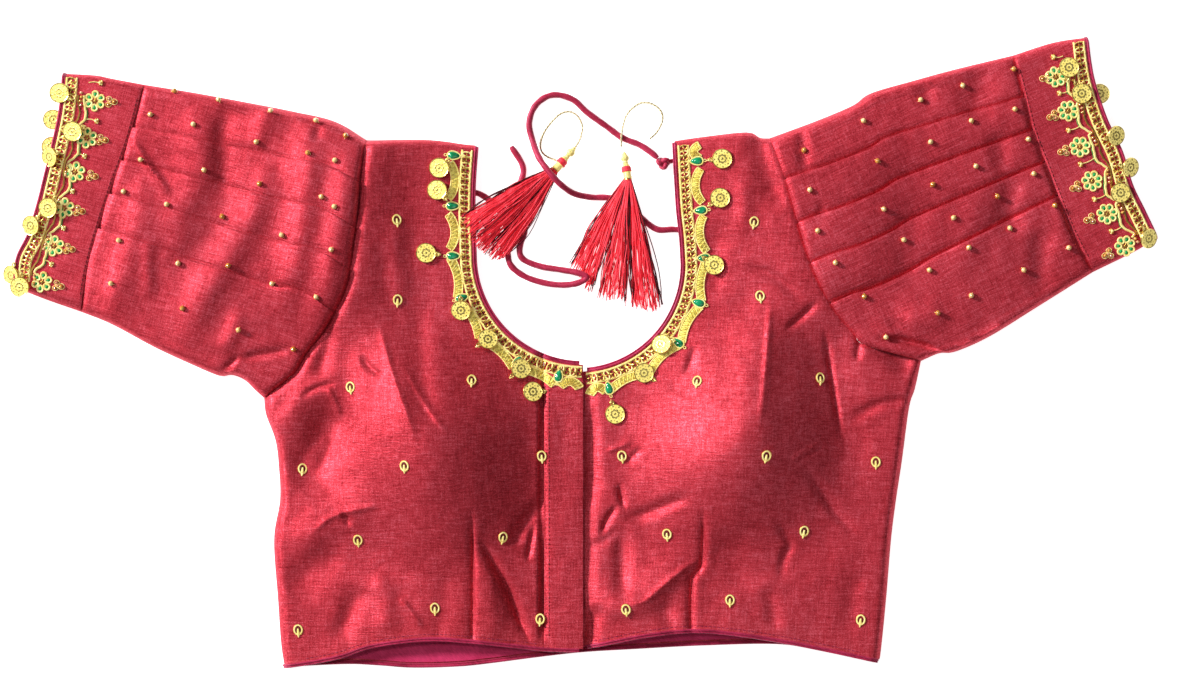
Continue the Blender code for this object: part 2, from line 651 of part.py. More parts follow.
class Patch:
    """A flat shape between four curves. u runs outward along the arm, v from the upper edge down."""

    def __init__(self, upper, lower, near, far):
        self.upper, self.lower, self.near, self.far = (
            Curve(spline(points, STEP)) for points in (upper, lower, near, far)
        )
        self.length = (self.upper.length + self.lower.length) / 2

    def at(self, u, v):
        along = (1 - v) * self.share(self.upper, u) + v * self.share(self.lower, u)
        across = (1 - u) * self.share(self.near, v) + u * self.share(self.far, v)
        corners = (1 - u) * ((1 - v) * self.near.points[0] + v * self.near.points[-1])
        corners += u * ((1 - v) * self.far.points[0] + v * self.far.points[-1])
        return along + across - corners

    def width(self, u):
        return (self.at(u, 0) - self.at(u, 1)).length

    @staticmethod
    def share(curve, share):
        return curve.at(share * curve.length)


SLEEVE_PATCH = {side: Patch(SLEEVE_UPPER[side], SLEEVE_LOWER[side], ARMHOLE[side], CUFF_SEAM[side])
                for side in SIDES}
CUFF_PATCH = {side: Patch(CUFF_UPPER[side], CUFF_LOWER[side], CUFF_SEAM[side], CUFF_EDGE[side])
              for side in SIDES}


def sleeve_top(u, v):
    """Outer face of a sleeve over the surface, without its tucks."""
    end = BODY_TOP + 0.6 + (CUFF_TOP - BODY_TOP - 0.6) * smooth_step(u)
    return end + (SLEEVE_TOP + SLEEVE_ARCH * math.sin(math.pi * v) - end) * math.sin(math.pi * u)


def section(width, top, tucks, lap):
    """The outer and inner points of a flattened tube, each (distance from its upper edge, height),
    over the top to its lower edge and back along the underside."""
    outer, inner = [], []

    def rounded(angles, place):
        for angle in angles:
            across, up = 1 - math.cos(math.radians(angle)), math.sin(math.radians(angle))
            outer.append((place(SLEEVE_ROUND * across), SLEEVE_FOOT + (top(0.5) - SLEEVE_FOOT) * up))
            inner.append((place(WALL + (SLEEVE_ROUND - WALL) * across),
                          SLEEVE_FOOT + (top(0.5) - WALL - SLEEVE_FOOT) * up))

    def plain(distance, rise):
        height = top(distance / width)
        outer.append((distance, height + rise))
        inner.append((distance, height - WALL))

    rounded((0, 30, 60), lambda d: d)
    plain(SLEEVE_ROUND, 0)
    last, rise = SLEEVE_ROUND, 0.0
    for place in tucks:
        edge = place * width
        height = top(place)
        plain((last + edge) / 2, rise / 2)
        outer.extend(((edge + lap, height), (edge + lap, height + TUCK_SLIT),
                      (edge, height + TUCK_SLIT), (edge + GAP, height + TUCK_STEP)))
        inner.extend((edge + off, height - WALL) for off in (-1.5, -0.5, 0.5, 1.5))
        last, rise = edge, TUCK_STEP
    parts = 3 if tucks else 7
    for i in range(1, parts):
        plain(last + (width - SLEEVE_ROUND - last) * i / parts, rise * (1 - i / parts))
    plain(width - SLEEVE_ROUND, 0)
    rounded((60, 30, 0), lambda d: width - d)
    for share in (1, 0.87, 0.73, 0.55, 0.36, 0.17, 0):
        edge = SLEEVE_FOOT + (width - 2 * SLEEVE_FOOT) * share
        outer.append((edge, 0.0))
        inner.append((edge, WALL))
    return outer, inner


def tube_wall(name, rings, material):
    """A wall between two lofted faces, open at both ends. Each ring is (outer points, inner points)."""
    size = len(rings[0][0])
    vertices = [p for outer, _ in rings for p in outer] + [p for _, inner in rings for p in inner]
    inside = len(rings) * size
    faces = []
    for i in range(len(rings) - 1):
        for j in range(size):
            k = (j + 1) % size
            for start in (0, inside):
                a = start + i * size
                faces.append((a + j, a + k, a + size + k, a + size + j))
    for i in (0, len(rings) - 1):
        for j in range(size):
            k = (j + 1) % size
            a = i * size
            faces.append((a + j, a + k, inside + a + k, inside + a + j))
    return solid(name, vertices, faces, material)


def laid_ring(patch, u, points):
    width = patch.width(u)
    places = [patch.at(u, distance / width) for distance, _ in points]
    return [Vector((p.x, p.y, z)) for p, (_, z) in zip(places, points)]


def sleeve(side):
    """A flattened tube with lapped tucks from the armhole to the cuff."""
    patch = SLEEVE_PATCH[side]
    rings = []
    for u in SLEEVE_RINGS:
        ends = u in (0.0, 1.0)
        lap = -GAP if ends else TUCK_LAP
        places = [near + (far - near) * u for near, far in TUCKS]
        u_gap = min(max(u, SLEEVE_GAP / patch.length), 1 - GAP / patch.length)
        shape = section(patch.width(u_gap), lambda v: sleeve_top(u, v), places, lap)
        rings.append([laid_ring(patch, u_gap, points) for points in shape])
    return tube_wall(f"sleeve_{side}", rings, "silk")


def cuff_ring(side, u):
    patch = CUFF_PATCH[side]
    shape = section(patch.width(u), lambda v: CUFF_TOP, (), 0)
    return [laid_ring(patch, u, points) for points in shape]


def cuff(side):
    """The band at the sleeve's end."""
    length = CUFF_PATCH[side].length
    ends = (GAP / length, 1 - (PIPING + GAP) / length)
    shares = [ends[0] + (ends[1] - ends[0]) * u for u in CUFF_RINGS]
    return tube_wall(f"cuff_{side}", [cuff_ring(side, u) for u in shares], "silk")


def piping(name, path, height):
    """A rolled edge along a curve seen from above, at height(point)."""
    points = [Vector((p.x, p.y, max(height(p), PIPING / 2))) for p in path]
    return tube(name, points, PIPING / 2, "piping", resolution=1)


def pipings():
    """The rolled edges of neck, hem and cuffs."""
    half = PIPING / 2
    nodes = []
    for side, shoulder in (("right", 366.0), ("left", 369.5)):
        def height(p):
            return edge_middle(side, p)

        def is_kept(p):
            return p.x < 0 if side == "right" else p.x > 2

        neck = moved_left(neck_curve(side), half if side == "right" else -half)
        neck = [p for p in neck if is_kept(p) and p.y < shoulder]
        hem = [p for p in hem_curve(side, half, LONG_STEP) if is_kept(p)]
        nodes += [piping(f"neck_piping_{side}", neck, height), piping(f"hem_piping_{side}", hem, height)]
        outer, inner = cuff_ring(side, 1 - half / CUFF_PATCH[side].length)
        ring = [(a + b) / 2 for a, b in zip(outer, inner)]
        for p in ring:
            p.z = max(p.z, half)
        node = tube(f"cuff_piping_{side}", ring, half, "piping", resolution=1)
        node.data.splines[0].use_cyclic_u = True
        nodes.append(node)
    hem = moved_left(spline(BACK_HEM, LONG_STEP), half)
    nodes.append(piping("hem_piping_back", [p for p in hem if -201 < p.x < 198], lambda p: half))
    return nodes


def edge_middle(side, point):
    """The middle of the cloth's thickness at its edge."""
    if side == "right" and point.x > -PLACKET_WIDTH:
        return front_height(side, point) + PLACKET_PROUD - PLACKET_WALL / 2
    return front_height(side, point) - WALL / 2


def slab(name, top, under, material):
    """A solid between two grids of points that match."""
    rows, columns = len(top), len(top[0])
    size = rows * columns

    def at(i, j):
        return i * columns + j

    faces = []
    for i in range(rows - 1):
        for j in range(columns - 1):
            face = [at(i, j), at(i, j + 1), at(i + 1, j + 1), at(i + 1, j)]
            faces += [face, [k + size for k in reversed(face)]]
    rim = [at(0, j) for j in range(columns)] + [at(i, columns - 1) for i in range(1, rows)]
    rim += [at(rows - 1, j) for j in reversed(range(columns - 1))]
    rim += [at(i, 0) for i in reversed(range(1, rows - 1))]
    for a, b in zip(rim, rim[1:] + rim[:1]):
        faces.append([a, a + size, b + size, b])
    return solid(name, [p for row in top + under for p in row], faces, material)


def hem_facing():
    """The facing inside the back's hem, which the open hem shows."""
    line = Curve(spline(BACK_HEM, LONG_STEP))
    first, last = (line.nearest(Vector((x, 4)))[0] for x in FACING_ENDS)
    top, under = [], []
    count = round(line.length / 24)
    for i in range(count + 1):
        along = first + (last - first) * i / count
        row = [line.beside(along, PIPING + GAP + share * FACING_WIDTH) for share in (0.04, 1)]
        under.append([Vector((p.x, p.y, WALL + GAP)) for p in row])
        top.append([Vector((p.x, p.y, WALL + GAP + FACING_WALL)) for p in row])
    return slab("hem_facing_back", top, under, "piping")


def rest_height(shapes, point, reach=0.0):
    """The highest place of `shapes` at this point, or within `reach` of it, or None off them."""
    found = []
    spots = [Vector((0, 0))]
    if reach:
        spots += [Vector((reach * math.cos(a), reach * math.sin(a)))
                  for a in (math.tau * i / 8 for i in range(8))]
    for spot in spots:
        start = Vector((point.x + spot.x, point.y + spot.y, 300)) * MM
        for shape in shapes:
            hit = shape.ray_cast(start, Vector((0, 0, -1)))[0]
            if hit is not None:
                found.append(hit.z / MM)
    return max(found) if found else None


def faces_of(node):
    """The corners and faces of a piece, its cords turned into faces too."""
    bpy.context.view_layer.update()
    shape = node.evaluated_get(bpy.context.evaluated_depsgraph_get())
    data = shape.to_mesh()
    corners = [v.co.copy() for v in data.vertices]
    faces = [tuple(f.vertices) for f in data.polygons]
    shape.to_mesh_clear()
    return corners, faces


def tree_of(node):
    """The surface of a piece, to cast rays at."""
    return BVHTree.FromPolygons(*faces_of(node))


def trim_rows(stations, place, shapes):
    """Grids of a trim's upper and lower faces. A station is (along, outer edge, height)."""
    top, under = [], []
    near, far = BAND
    for along, reach, height in stations:
        columns = ((near, 1.0), (far, BAND_RELIEF), ((far + reach) / 2, height), (reach, 0.7 * height))
        lower, upper = [], []
        for offset, relief in columns:
            p = place(along, offset)
            z = rest_height(shapes, p, reach=1.5) + TRIM_LIFT
            lower.append(Vector((p.x, p.y, z)))
            upper.append(Vector((p.x, p.y, z + relief)))
        top.append(upper)
        under.append(lower)
    return top, under


def repeated(marks, repeat, first, last):
    """Stations of a repeat between each two marks, kept from first to last."""
    marks = [2 * marks[0] - marks[1], *marks, 2 * marks[-1] - marks[-2]]
    stations = [(a + (b - a) * share, reach, height)
                for a, b in zip(marks, marks[1:]) for share, reach, height in repeat]
    kept = [s for s in stations if first < s[0] < last]
    return [(first, *kept[0][1:]), *kept, (last, *kept[-1][1:])]


def neck_trim(side, shapes):
    """Chain band with scalloped crescents and stones along half of the neck."""
    curve = NECK[side]
    sign = 1 if side == "right" else -1
    marks = sorted(curve.nearest(Vector(p))[0] for p in STONES[side])
    first = curve.nearest(Vector((-0.4, 215)) if side == "right" else Vector((1.6, 211)))[0]
    last = curve.nearest(Vector((-73.5, 363.5)) if side == "right" else Vector((62.8, 365.0)))[0]
    stations = repeated(marks, NECK_REPEAT, first, last)
    top, under = trim_rows(stations, lambda along, off: curve.beside(along, sign * off), shapes)
    return slab(f"neck_trim_{side}", top, under, "zari")


def cuff_place(side, v, offset):
    """The place on a cuff at share v across it, this far in from its open edge."""
    patch = CUFF_PATCH[side]
    length = (patch.at(0, v) - patch.at(1, v)).length
    return patch.at(1 - offset / length, v)


def cuff_trim(side, shapes):
    """Chain band with flowers and bead clusters along the cuff."""
    first, last, count = CUFF_FLOWERS[side]
    marks = [first + (last - first) * i / (count - 1) for i in range(count)]
    stations = repeated(marks, CUFF_REPEAT, 0.06, 0.94)
    top, under = trim_rows(stations, lambda v, off: cuff_place(side, v, off), shapes)
    return slab(f"cuff_trim_{side}", top, under, "zari")


def coin_outline(eyelet):
    """A coin's rim round the origin with its lug towards this angle."""
    radius = COIN / 2
    half = math.asin(EYELET / 2 / radius)
    sides = [eyelet + half + (math.tau - 2 * half) * i / COIN_SIDES for i in range(COIN_SIDES + 1)]
    rim = [Vector((radius * math.cos(a), radius * math.sin(a))) for a in sides]
    out = Vector((math.cos(eyelet), math.sin(eyelet)))
    side = Vector((-out.y, out.x)) * EYELET / 2
    return rim + [out * (radius + EYELET_REACH) - side * 0.7, out * (radius + EYELET_REACH) + side * 0.7]


def coin(name, centre, height_at, outline):
    """A flat disc over `outline`, its underside at height_at(point)."""
    places = [centre + p for p in outline]
    under = [Vector((p.x, p.y, height_at(p))) for p in places]
    top = [p + Vector((0, 0, COIN_WALL)) for p in under]
    count = len(outline)
    faces = [list(range(count)), [i + count for i in reversed(range(count))]]
    faces += [[i, i + count, (i + 1) % count + count, (i + 1) % count] for i in range(count)]
    return solid(name, top + under, faces, "coin")


def resting_plane(centre, outline, shapes, slope):
    """The height of a plane that leans by `slope` (rise per millimetre in x and y) and clears `shapes`."""
    reach = round(COIN / 2 + EYELET_REACH)
    grid = [Vector((x, y)) for x in range(-reach, reach + 1) for y in range(-reach, reach + 1)]
    spots = [p for p in grid if is_inside(outline, p)]
    for a, b in zip(outline, outline[1:] + outline[:1]):
        spots += [a, a.lerp(b, 0.33), a.lerp(b, 0.67)]
    base = COIN_LIFT + max((rest_height(shapes, centre + p) or 0.0) - slope.dot(p) for p in spots)
    return lambda p: base + slope.dot(p - centre)


def fitted_slope(centre, shapes):
    """The slope of the cloth under a coin."""
    radius = COIN / 2
    slope = Vector((0.0, 0.0))
    for axis, step in enumerate((Vector((radius, 0)), Vector((0, radius)))):
        ahead, behind = rest_height(shapes, centre + step), rest_height(shapes, centre - step)
        slope[axis] = 0.0 if None in (ahead, behind) else (ahead - behind) / (2 * radius)
    return slope


def coins(shapes):
    """The coins of neck and cuffs, each lying on what is under it."""
    shapes = list(shapes)

    def lay(name, row, slope=None):
        x, y, eyelet = row
        centre, outline = Vector((x, y)), coin_outline(math.radians(eyelet))
        if slope is None:
            slope = fitted_slope(centre, shapes)
        plane = resting_plane(centre, outline, shapes, slope)
        shapes.append(tree_of(coin(name, centre, plane, outline)))

    for side in SIDES:
        for number, row in enumerate(NECK_COINS[side], 1):
            lay(f"coin_neck_{side}_{number}", row)
        out = Vector(CUFF_OUT[side]).normalized()
        for number, (*row, lean) in enumerate(CUFF_COINS[side], 1):
            lay(f"coin_cuff_{side}_{number}", row, -out * math.tan(math.radians(lean)))
        for number, (x, y, eyelet) in enumerate(TUCKED_COINS[side], 1):
            outline = coin_outline(math.radians(eyelet))
            coin(f"coin_cuff_{side}_in_{number}", Vector((x, y)), lambda p: PIPING + GAP, outline)


def tie(side):
    return tube(f"tie_{side}", spline(TIE_ROUTES[side], TIE_STEP), TIE_RADIUS, "piping", resolution=1)


def knot():
    """The knot at the left tie's end."""
    mesh = bmesh.new()
    bmesh.ops.create_icosphere(mesh, subdivisions=2, radius=1.0)
    vertices = [Vector(v.co[i] * TIE_KNOT_SIZE[i] + TIE_KNOT[i] for i in range(3)) for v in mesh.verts]
    faces = [[v.index for v in f.verts] for f in mesh.faces]
    mesh.free()
    return solid("tie_knot_left", vertices, faces, "piping")


def fan_tip(tips, share):
    curve = [Vector(p) for p in tips]
    spans = [(b - a).length for a, b in zip(curve, curve[1:])]
    left = share * sum(spans)
    for a, b, span in zip(curve, curve[1:], spans):
        if left <= span or b is curve[-1]:
            return a.lerp(b, min(left / span, 1))
        left -= span


def tassel(side):
    """Strands of four sides that grow from the underside of one head."""
    shape = TASSELS[side]
    columns, layers = shape["columns"], shape["layers"]
    root, end = Vector(shape["root"]), Vector(shape["end"])
    out = Vector((root.x - end.x, root.y - end.y, 0)).normalized()
    across = Vector((-out.y, out.x, 0))
    if across.dot(Vector(shape["tips"][0]) - Vector(shape["tips"][-1])) > 0:
        across = -across
    up = Vector((0, 0, 1))

    def cell(i, j):
        return (root + across * (i - columns / 2) * STRAND_PITCH
                + up * (j - layers / 2) * STRAND_PITCH)

    vertices, faces, index = [], [], {}
    for i in range(columns + 1):
        for j in range(layers + 1):
            index[i, j] = len(vertices)
            vertices.append(cell(i, j))
    for i in range(columns):
        for j in range(layers):
            middle = (cell(i, j) + cell(i + 1, j + 1)) / 2
            layer = j - (layers - 1) / 2
            tip = fan_tip(shape["tips"], (i + 0.5) / columns) + up * j * LAYER_PITCH_TIP
            tip -= (tip - middle) * (0.05 * ((i * 3 + j * 5) % 4) / 3)
            bend = middle + out * (tip - middle).length * 0.45 + up * layer * 0.3
            corners = [(0, 0), (1, 0), (1, 1), (0, 1)]
            ring = [index[i + a, j + b] for a, b in corners]
            for k in range(STRAND_SECTIONS + 1):
                t = k / STRAND_SECTIONS
                centre = (1 - t) ** 2 * middle + 2 * t * (1 - t) * bend + t * t * tip
                half = (STRAND_ROOT + (STRAND_TIP - STRAND_ROOT) * t) / 2
                heading = (2 * (1 - t) * (bend - middle) + 2 * t * (tip - bend)).normalized()
                wide = heading.cross(up).normalized()
                wide *= 1 if wide.dot(across) > 0 else -1
                new = []
                for a, b in corners:
                    new.append(len(vertices))
                    vertices.append(centre + wide * (2 * a - 1) * half + up * (2 * b - 1) * half)
                for a in range(4):
                    b = (a + 1) % 4
                    faces.append([ring[a], ring[b], new[b], new[a]])
                ring = new
            faces.append(ring)
    rim = [(i, 0) for i in range(columns)] + [(columns, j) for j in range(layers)]
    rim += [(i, layers) for i in range(columns, 0, -1)] + [(0, j) for j in range(layers, 0, -1)]
    ring = [index[p] for p in rim]
    for share, size in ((0.5, 0.8), (1.0, 0.45)):
        new = []
        for p in rim:
            new.append(len(vertices))
            vertices.append(root + (cell(*p) - root) * size - out * HEAD_LENGTH * share)
        for a in range(len(rim)):
            b = (a + 1) % len(rim)
            faces.append([ring[a], ring[b], new[b], new[a]])
        ring = new
    faces.append(ring)
    return solid(f"tassel_{side}", vertices, faces, "thread")


def tassel_cap(side):
    """The bound neck and gold wrap between the tassel's head and its loop."""
    shape = TASSELS[side]
    root, end = Vector(shape["root"]), Vector(shape["end"])
    flat = Vector((root.x - end.x, root.y - end.y, 0)).normalized()
    start = root - flat * (HEAD_LENGTH + GAP)
    along = end - start
    side_way = along.cross(Vector((0, 0, 1))).normalized()
    up = side_way.cross(along).normalized()
    vertices, faces = [], []
    for share, radius in CAP_PROFILE:
        for i in range(CAP_SIDES):
            angle = math.tau * i / CAP_SIDES
            vertices.append(start + along * share
                            + (side_way * math.cos(angle) + up * math.sin(angle)) * radius)
    for k in range(len(CAP_PROFILE) - 1):
        for i in range(CAP_SIDES):
            j = (i + 1) % CAP_SIDES
            a = k * CAP_SIDES
            faces.append([a + i, a + j, a + CAP_SIDES + j, a + CAP_SIDES + i])
    faces.append(list(range(CAP_SIDES)))
    faces.append(list(range(len(vertices) - CAP_SIDES, len(vertices))))
    return solid(f"tassel_cap_{side}", vertices, faces, "zari")


def centre_origin():
    """Parents every piece to an empty that brings the origin under the middle of the blouse."""
    pieces = list(bpy.context.scene.objects)
    sewn = [p for p in pieces if not p.name.startswith(("tie", "tassel"))]
    corners = [corner for piece in sewn for corner in faces_of(piece)[0]]
    low = [min(c[i] for c in corners) for i in range(3)]
    high = [max(c[i] for c in corners) for i in range(3)]
    middle = bpy.data.objects.new("middle", None)
    middle.location = (-(low[0] + high[0]) / 2, -(low[1] + high[1]) / 2, -low[2])
    bpy.context.scene.collection.objects.link(middle)
    for piece in pieces:
        piece.parent = middle


def main():
    for old in list(bpy.data.objects):
        bpy.data.objects.remove(old)
    bodies = [front(side) for side in SIDES] + [placket(), back()]
    shapes = [tree_of(node) for node in bodies]
    for side in SIDES:
        sleeve(side)
        shapes.append(tree_of(cuff(side)))
    trims = [make(side, shapes) for make in (neck_trim, cuff_trim) for side in SIDES]
    hem_facing()
    coins(shapes + [tree_of(node) for node in trims + pipings()])
    knot()
    for side in SIDES:
        tie(side)
        tassel(side)
        tassel_cap(side)
        tube(f"tassel_loop_{side}", spline(LOOPS[side], LOOP_STEP), LOOP_RADIUS, "zari", resolution=1)
    centre_origin()


main()
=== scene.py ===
"""Dresses the choli blouse: creased silk, rolled edges, beaded trim, coins, ties and tassels.

Tables and shapes are in garment millimetres, as in the CAD model: +X to the wearer's left, +Y to the
shoulders, +Z up from the surface that the blouse lies on. SHIFT and MM turn them into the frame's metres.
"""
import math

import bpy
import numpy as np
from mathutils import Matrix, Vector, noise
from mathutils.bvhtree import BVHTree
from mathutils.geometry import delaunay_2d_cdt


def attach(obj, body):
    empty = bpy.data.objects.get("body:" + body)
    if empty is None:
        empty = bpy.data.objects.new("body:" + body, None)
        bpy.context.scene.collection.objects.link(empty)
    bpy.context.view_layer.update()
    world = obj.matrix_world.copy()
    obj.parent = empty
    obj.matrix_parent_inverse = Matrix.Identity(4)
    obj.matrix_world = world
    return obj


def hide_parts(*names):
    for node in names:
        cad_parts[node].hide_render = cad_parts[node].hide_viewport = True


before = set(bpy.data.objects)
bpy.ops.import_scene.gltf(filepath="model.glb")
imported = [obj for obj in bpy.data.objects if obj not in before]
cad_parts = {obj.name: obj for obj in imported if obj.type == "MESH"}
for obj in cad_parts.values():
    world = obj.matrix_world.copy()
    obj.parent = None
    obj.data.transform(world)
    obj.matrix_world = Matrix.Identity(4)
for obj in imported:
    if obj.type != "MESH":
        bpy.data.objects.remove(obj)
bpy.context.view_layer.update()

SHIFT, MM = np.array((2.552, -221.596, 0.0)), 0.001
SIDES = ("right", "left")
UP = np.array((0.0, 0.0, 1.0))
TAU = math.tau

# Cloth and seams, as in the CAD model
WALL, GAP, PIPING, SEAM_FOOT = 1.2, 0.3, 3.0, 0.5
BODY_TOP, NECK_TOP, NECK_SLOPE, HEM_SLOPE = 10.0, 8.5, 30.0, 60.0
PLACKET_WIDTH, PLACKET_WALL, PLACKET_PROUD = 27.3, 1.8, 0.8
UNDERLAP, UNDERLAP_DROP, UNDERLAP_SLOPE = 20.0, 2.4, 9.0
FACING_WIDTH, FACING_WALL, FACING_ENDS = 16.0, 0.8, (-198.0, 194.0)
# Rounds, rolls and dips that are this script's own, and how far edges reach under or past others
SIDE_ROUND, SHOULDER_ROUND, SEAM_DIP, SEAM_DIP_WIDTH = 7.0, 5.0, 1.9, 2.2
PLACKET_GROOVE, PLACKET_ROLL, TUCKED_IN, BACK_INSET, HEM_PAST = 4.0, 2.6, 0.4, 2.0, 6.0
CRISP, NARROW = 1.45, 2.6        # a crease narrower than NARROW stands CRISP times as high as its row says
# Where the middle edges end, past the neck that cuts them; the least height that folds leave; and the x
# past which there are folds
MIDDLE_TOP, LEAST_HEIGHT, FOLDS_START = 235, 5.2, {"right": -26, "left": -1}
# The outlines are the CAD model's. Arcs are (middle x, middle y, radius)
NECK_ARC = {"right": (0.0, 290.0, 74.4), "left": (-4.0, 283.0, 72.3)}
NECK_START = {"right": 8.0, "left": -28.0}
NECK_UPPER = {
    "right": ((-75.3, 318), (-74.9, 342), (-73.1, 367), (-72.8, 375)),
    "left": ((67.2, 302), (65.1, 321), (63.7, 343), (62.3, 370), (61.9, 378)),
}
BACK_NECK_ARC = (-2.0, 286.0, 79.5)
BACK_NECK_UPPER = {"right": ((-80.5, 318), (-79.5, 342), (-78.5, 380)),
                   "left": ((73, 308), (70, 325), (68.5, 345), (67.3, 384))}
SHOULDER = {
    "right": ((-66, 366.2), (-84, 367.8), (-96, 369.6), (-114, 371), (-152, 370.6)),
    "left": ((55, 368.6), (83, 372.8), (115, 376.2), (124, 372.4), (131, 372)),
}
ARMHOLE = {
    "right": ((-152, 370.6), (-155.4, 345), (-157.5, 319), (-160, 301), (-165, 269), (-178, 242), (-194, 221),
        (-203, 206.5), (-224, 189.7)),
    "left": ((131, 372), (141.4, 342.6), (149.5, 315), (159.3, 284), (173, 256), (189, 236.6), (197, 227),
        (237.3, 215.6)),
}
SIDE_SEAM = {
    "right": ((-224, 189.7), (-222.6, 178), (-216, 160), (-213.6, 141), (-212.8, 118), (-217, 90),
        (-214.2, 48), (-212, 17), (-209.3, 0)),
    "left": ((237.3, 215.6), (233, 196), (229, 183), (224, 146), (219.8, 118), (216.3, 90), (212.8, 48),
        (208.6, 8), (206, 2)),
}
# The front hem: x, y and the height of the cloth there
FRONT_HEM = {
    "right": ((-209.3, 0, 8), (-187, 3.5, 8), (-168, 7.7, 9), (-150, 14, 11), (-127, 18, 13),
        (-104, 19.6, 14), (-79, 18, 13), (-48, 14.7, 11), (-27, 12.3, 10), (0, 11.6, 10)),
    "left": ((206, 4, 8), (170.5, 11.7, 8), (136.5, 18.4, 10), (103, 23.5, 12), (75.6, 25.2, 13),
        (43.4, 21.8, 12), (3, 14, 10), (-22, 13, 10)),
}
BACK_HEM = ((-216, 0.4), (-168, 2.8), (-143.5, 1.9), (-120, 0.3), (-87.5, 1.1), (-64, 3.5), (-31.5, 7.7),
    (0, 11.2), (35, 13.3), (85, 15.9), (136.5, 16.8), (170, 11.9), (216, 5))
# A cup: its middle (x, y), half width, half length and rise, which is less than in the CAD model
CUPS = {"right": (-102, 158, 74, 80, 21), "left": (110, 158, 74, 80, 22)}
CUP_SPREAD = 1.2
DART_DIP, DART_SLIT = (1.6, 3.5), (1.3, 1.0)       # depth, half width
DARTS = {
    "right": ((-77.5, 22), (-77, 76), (-77.5, 116)),
    "left": ((75.5, 28), (76.5, 62), (83, 74), (84, 120)),
}
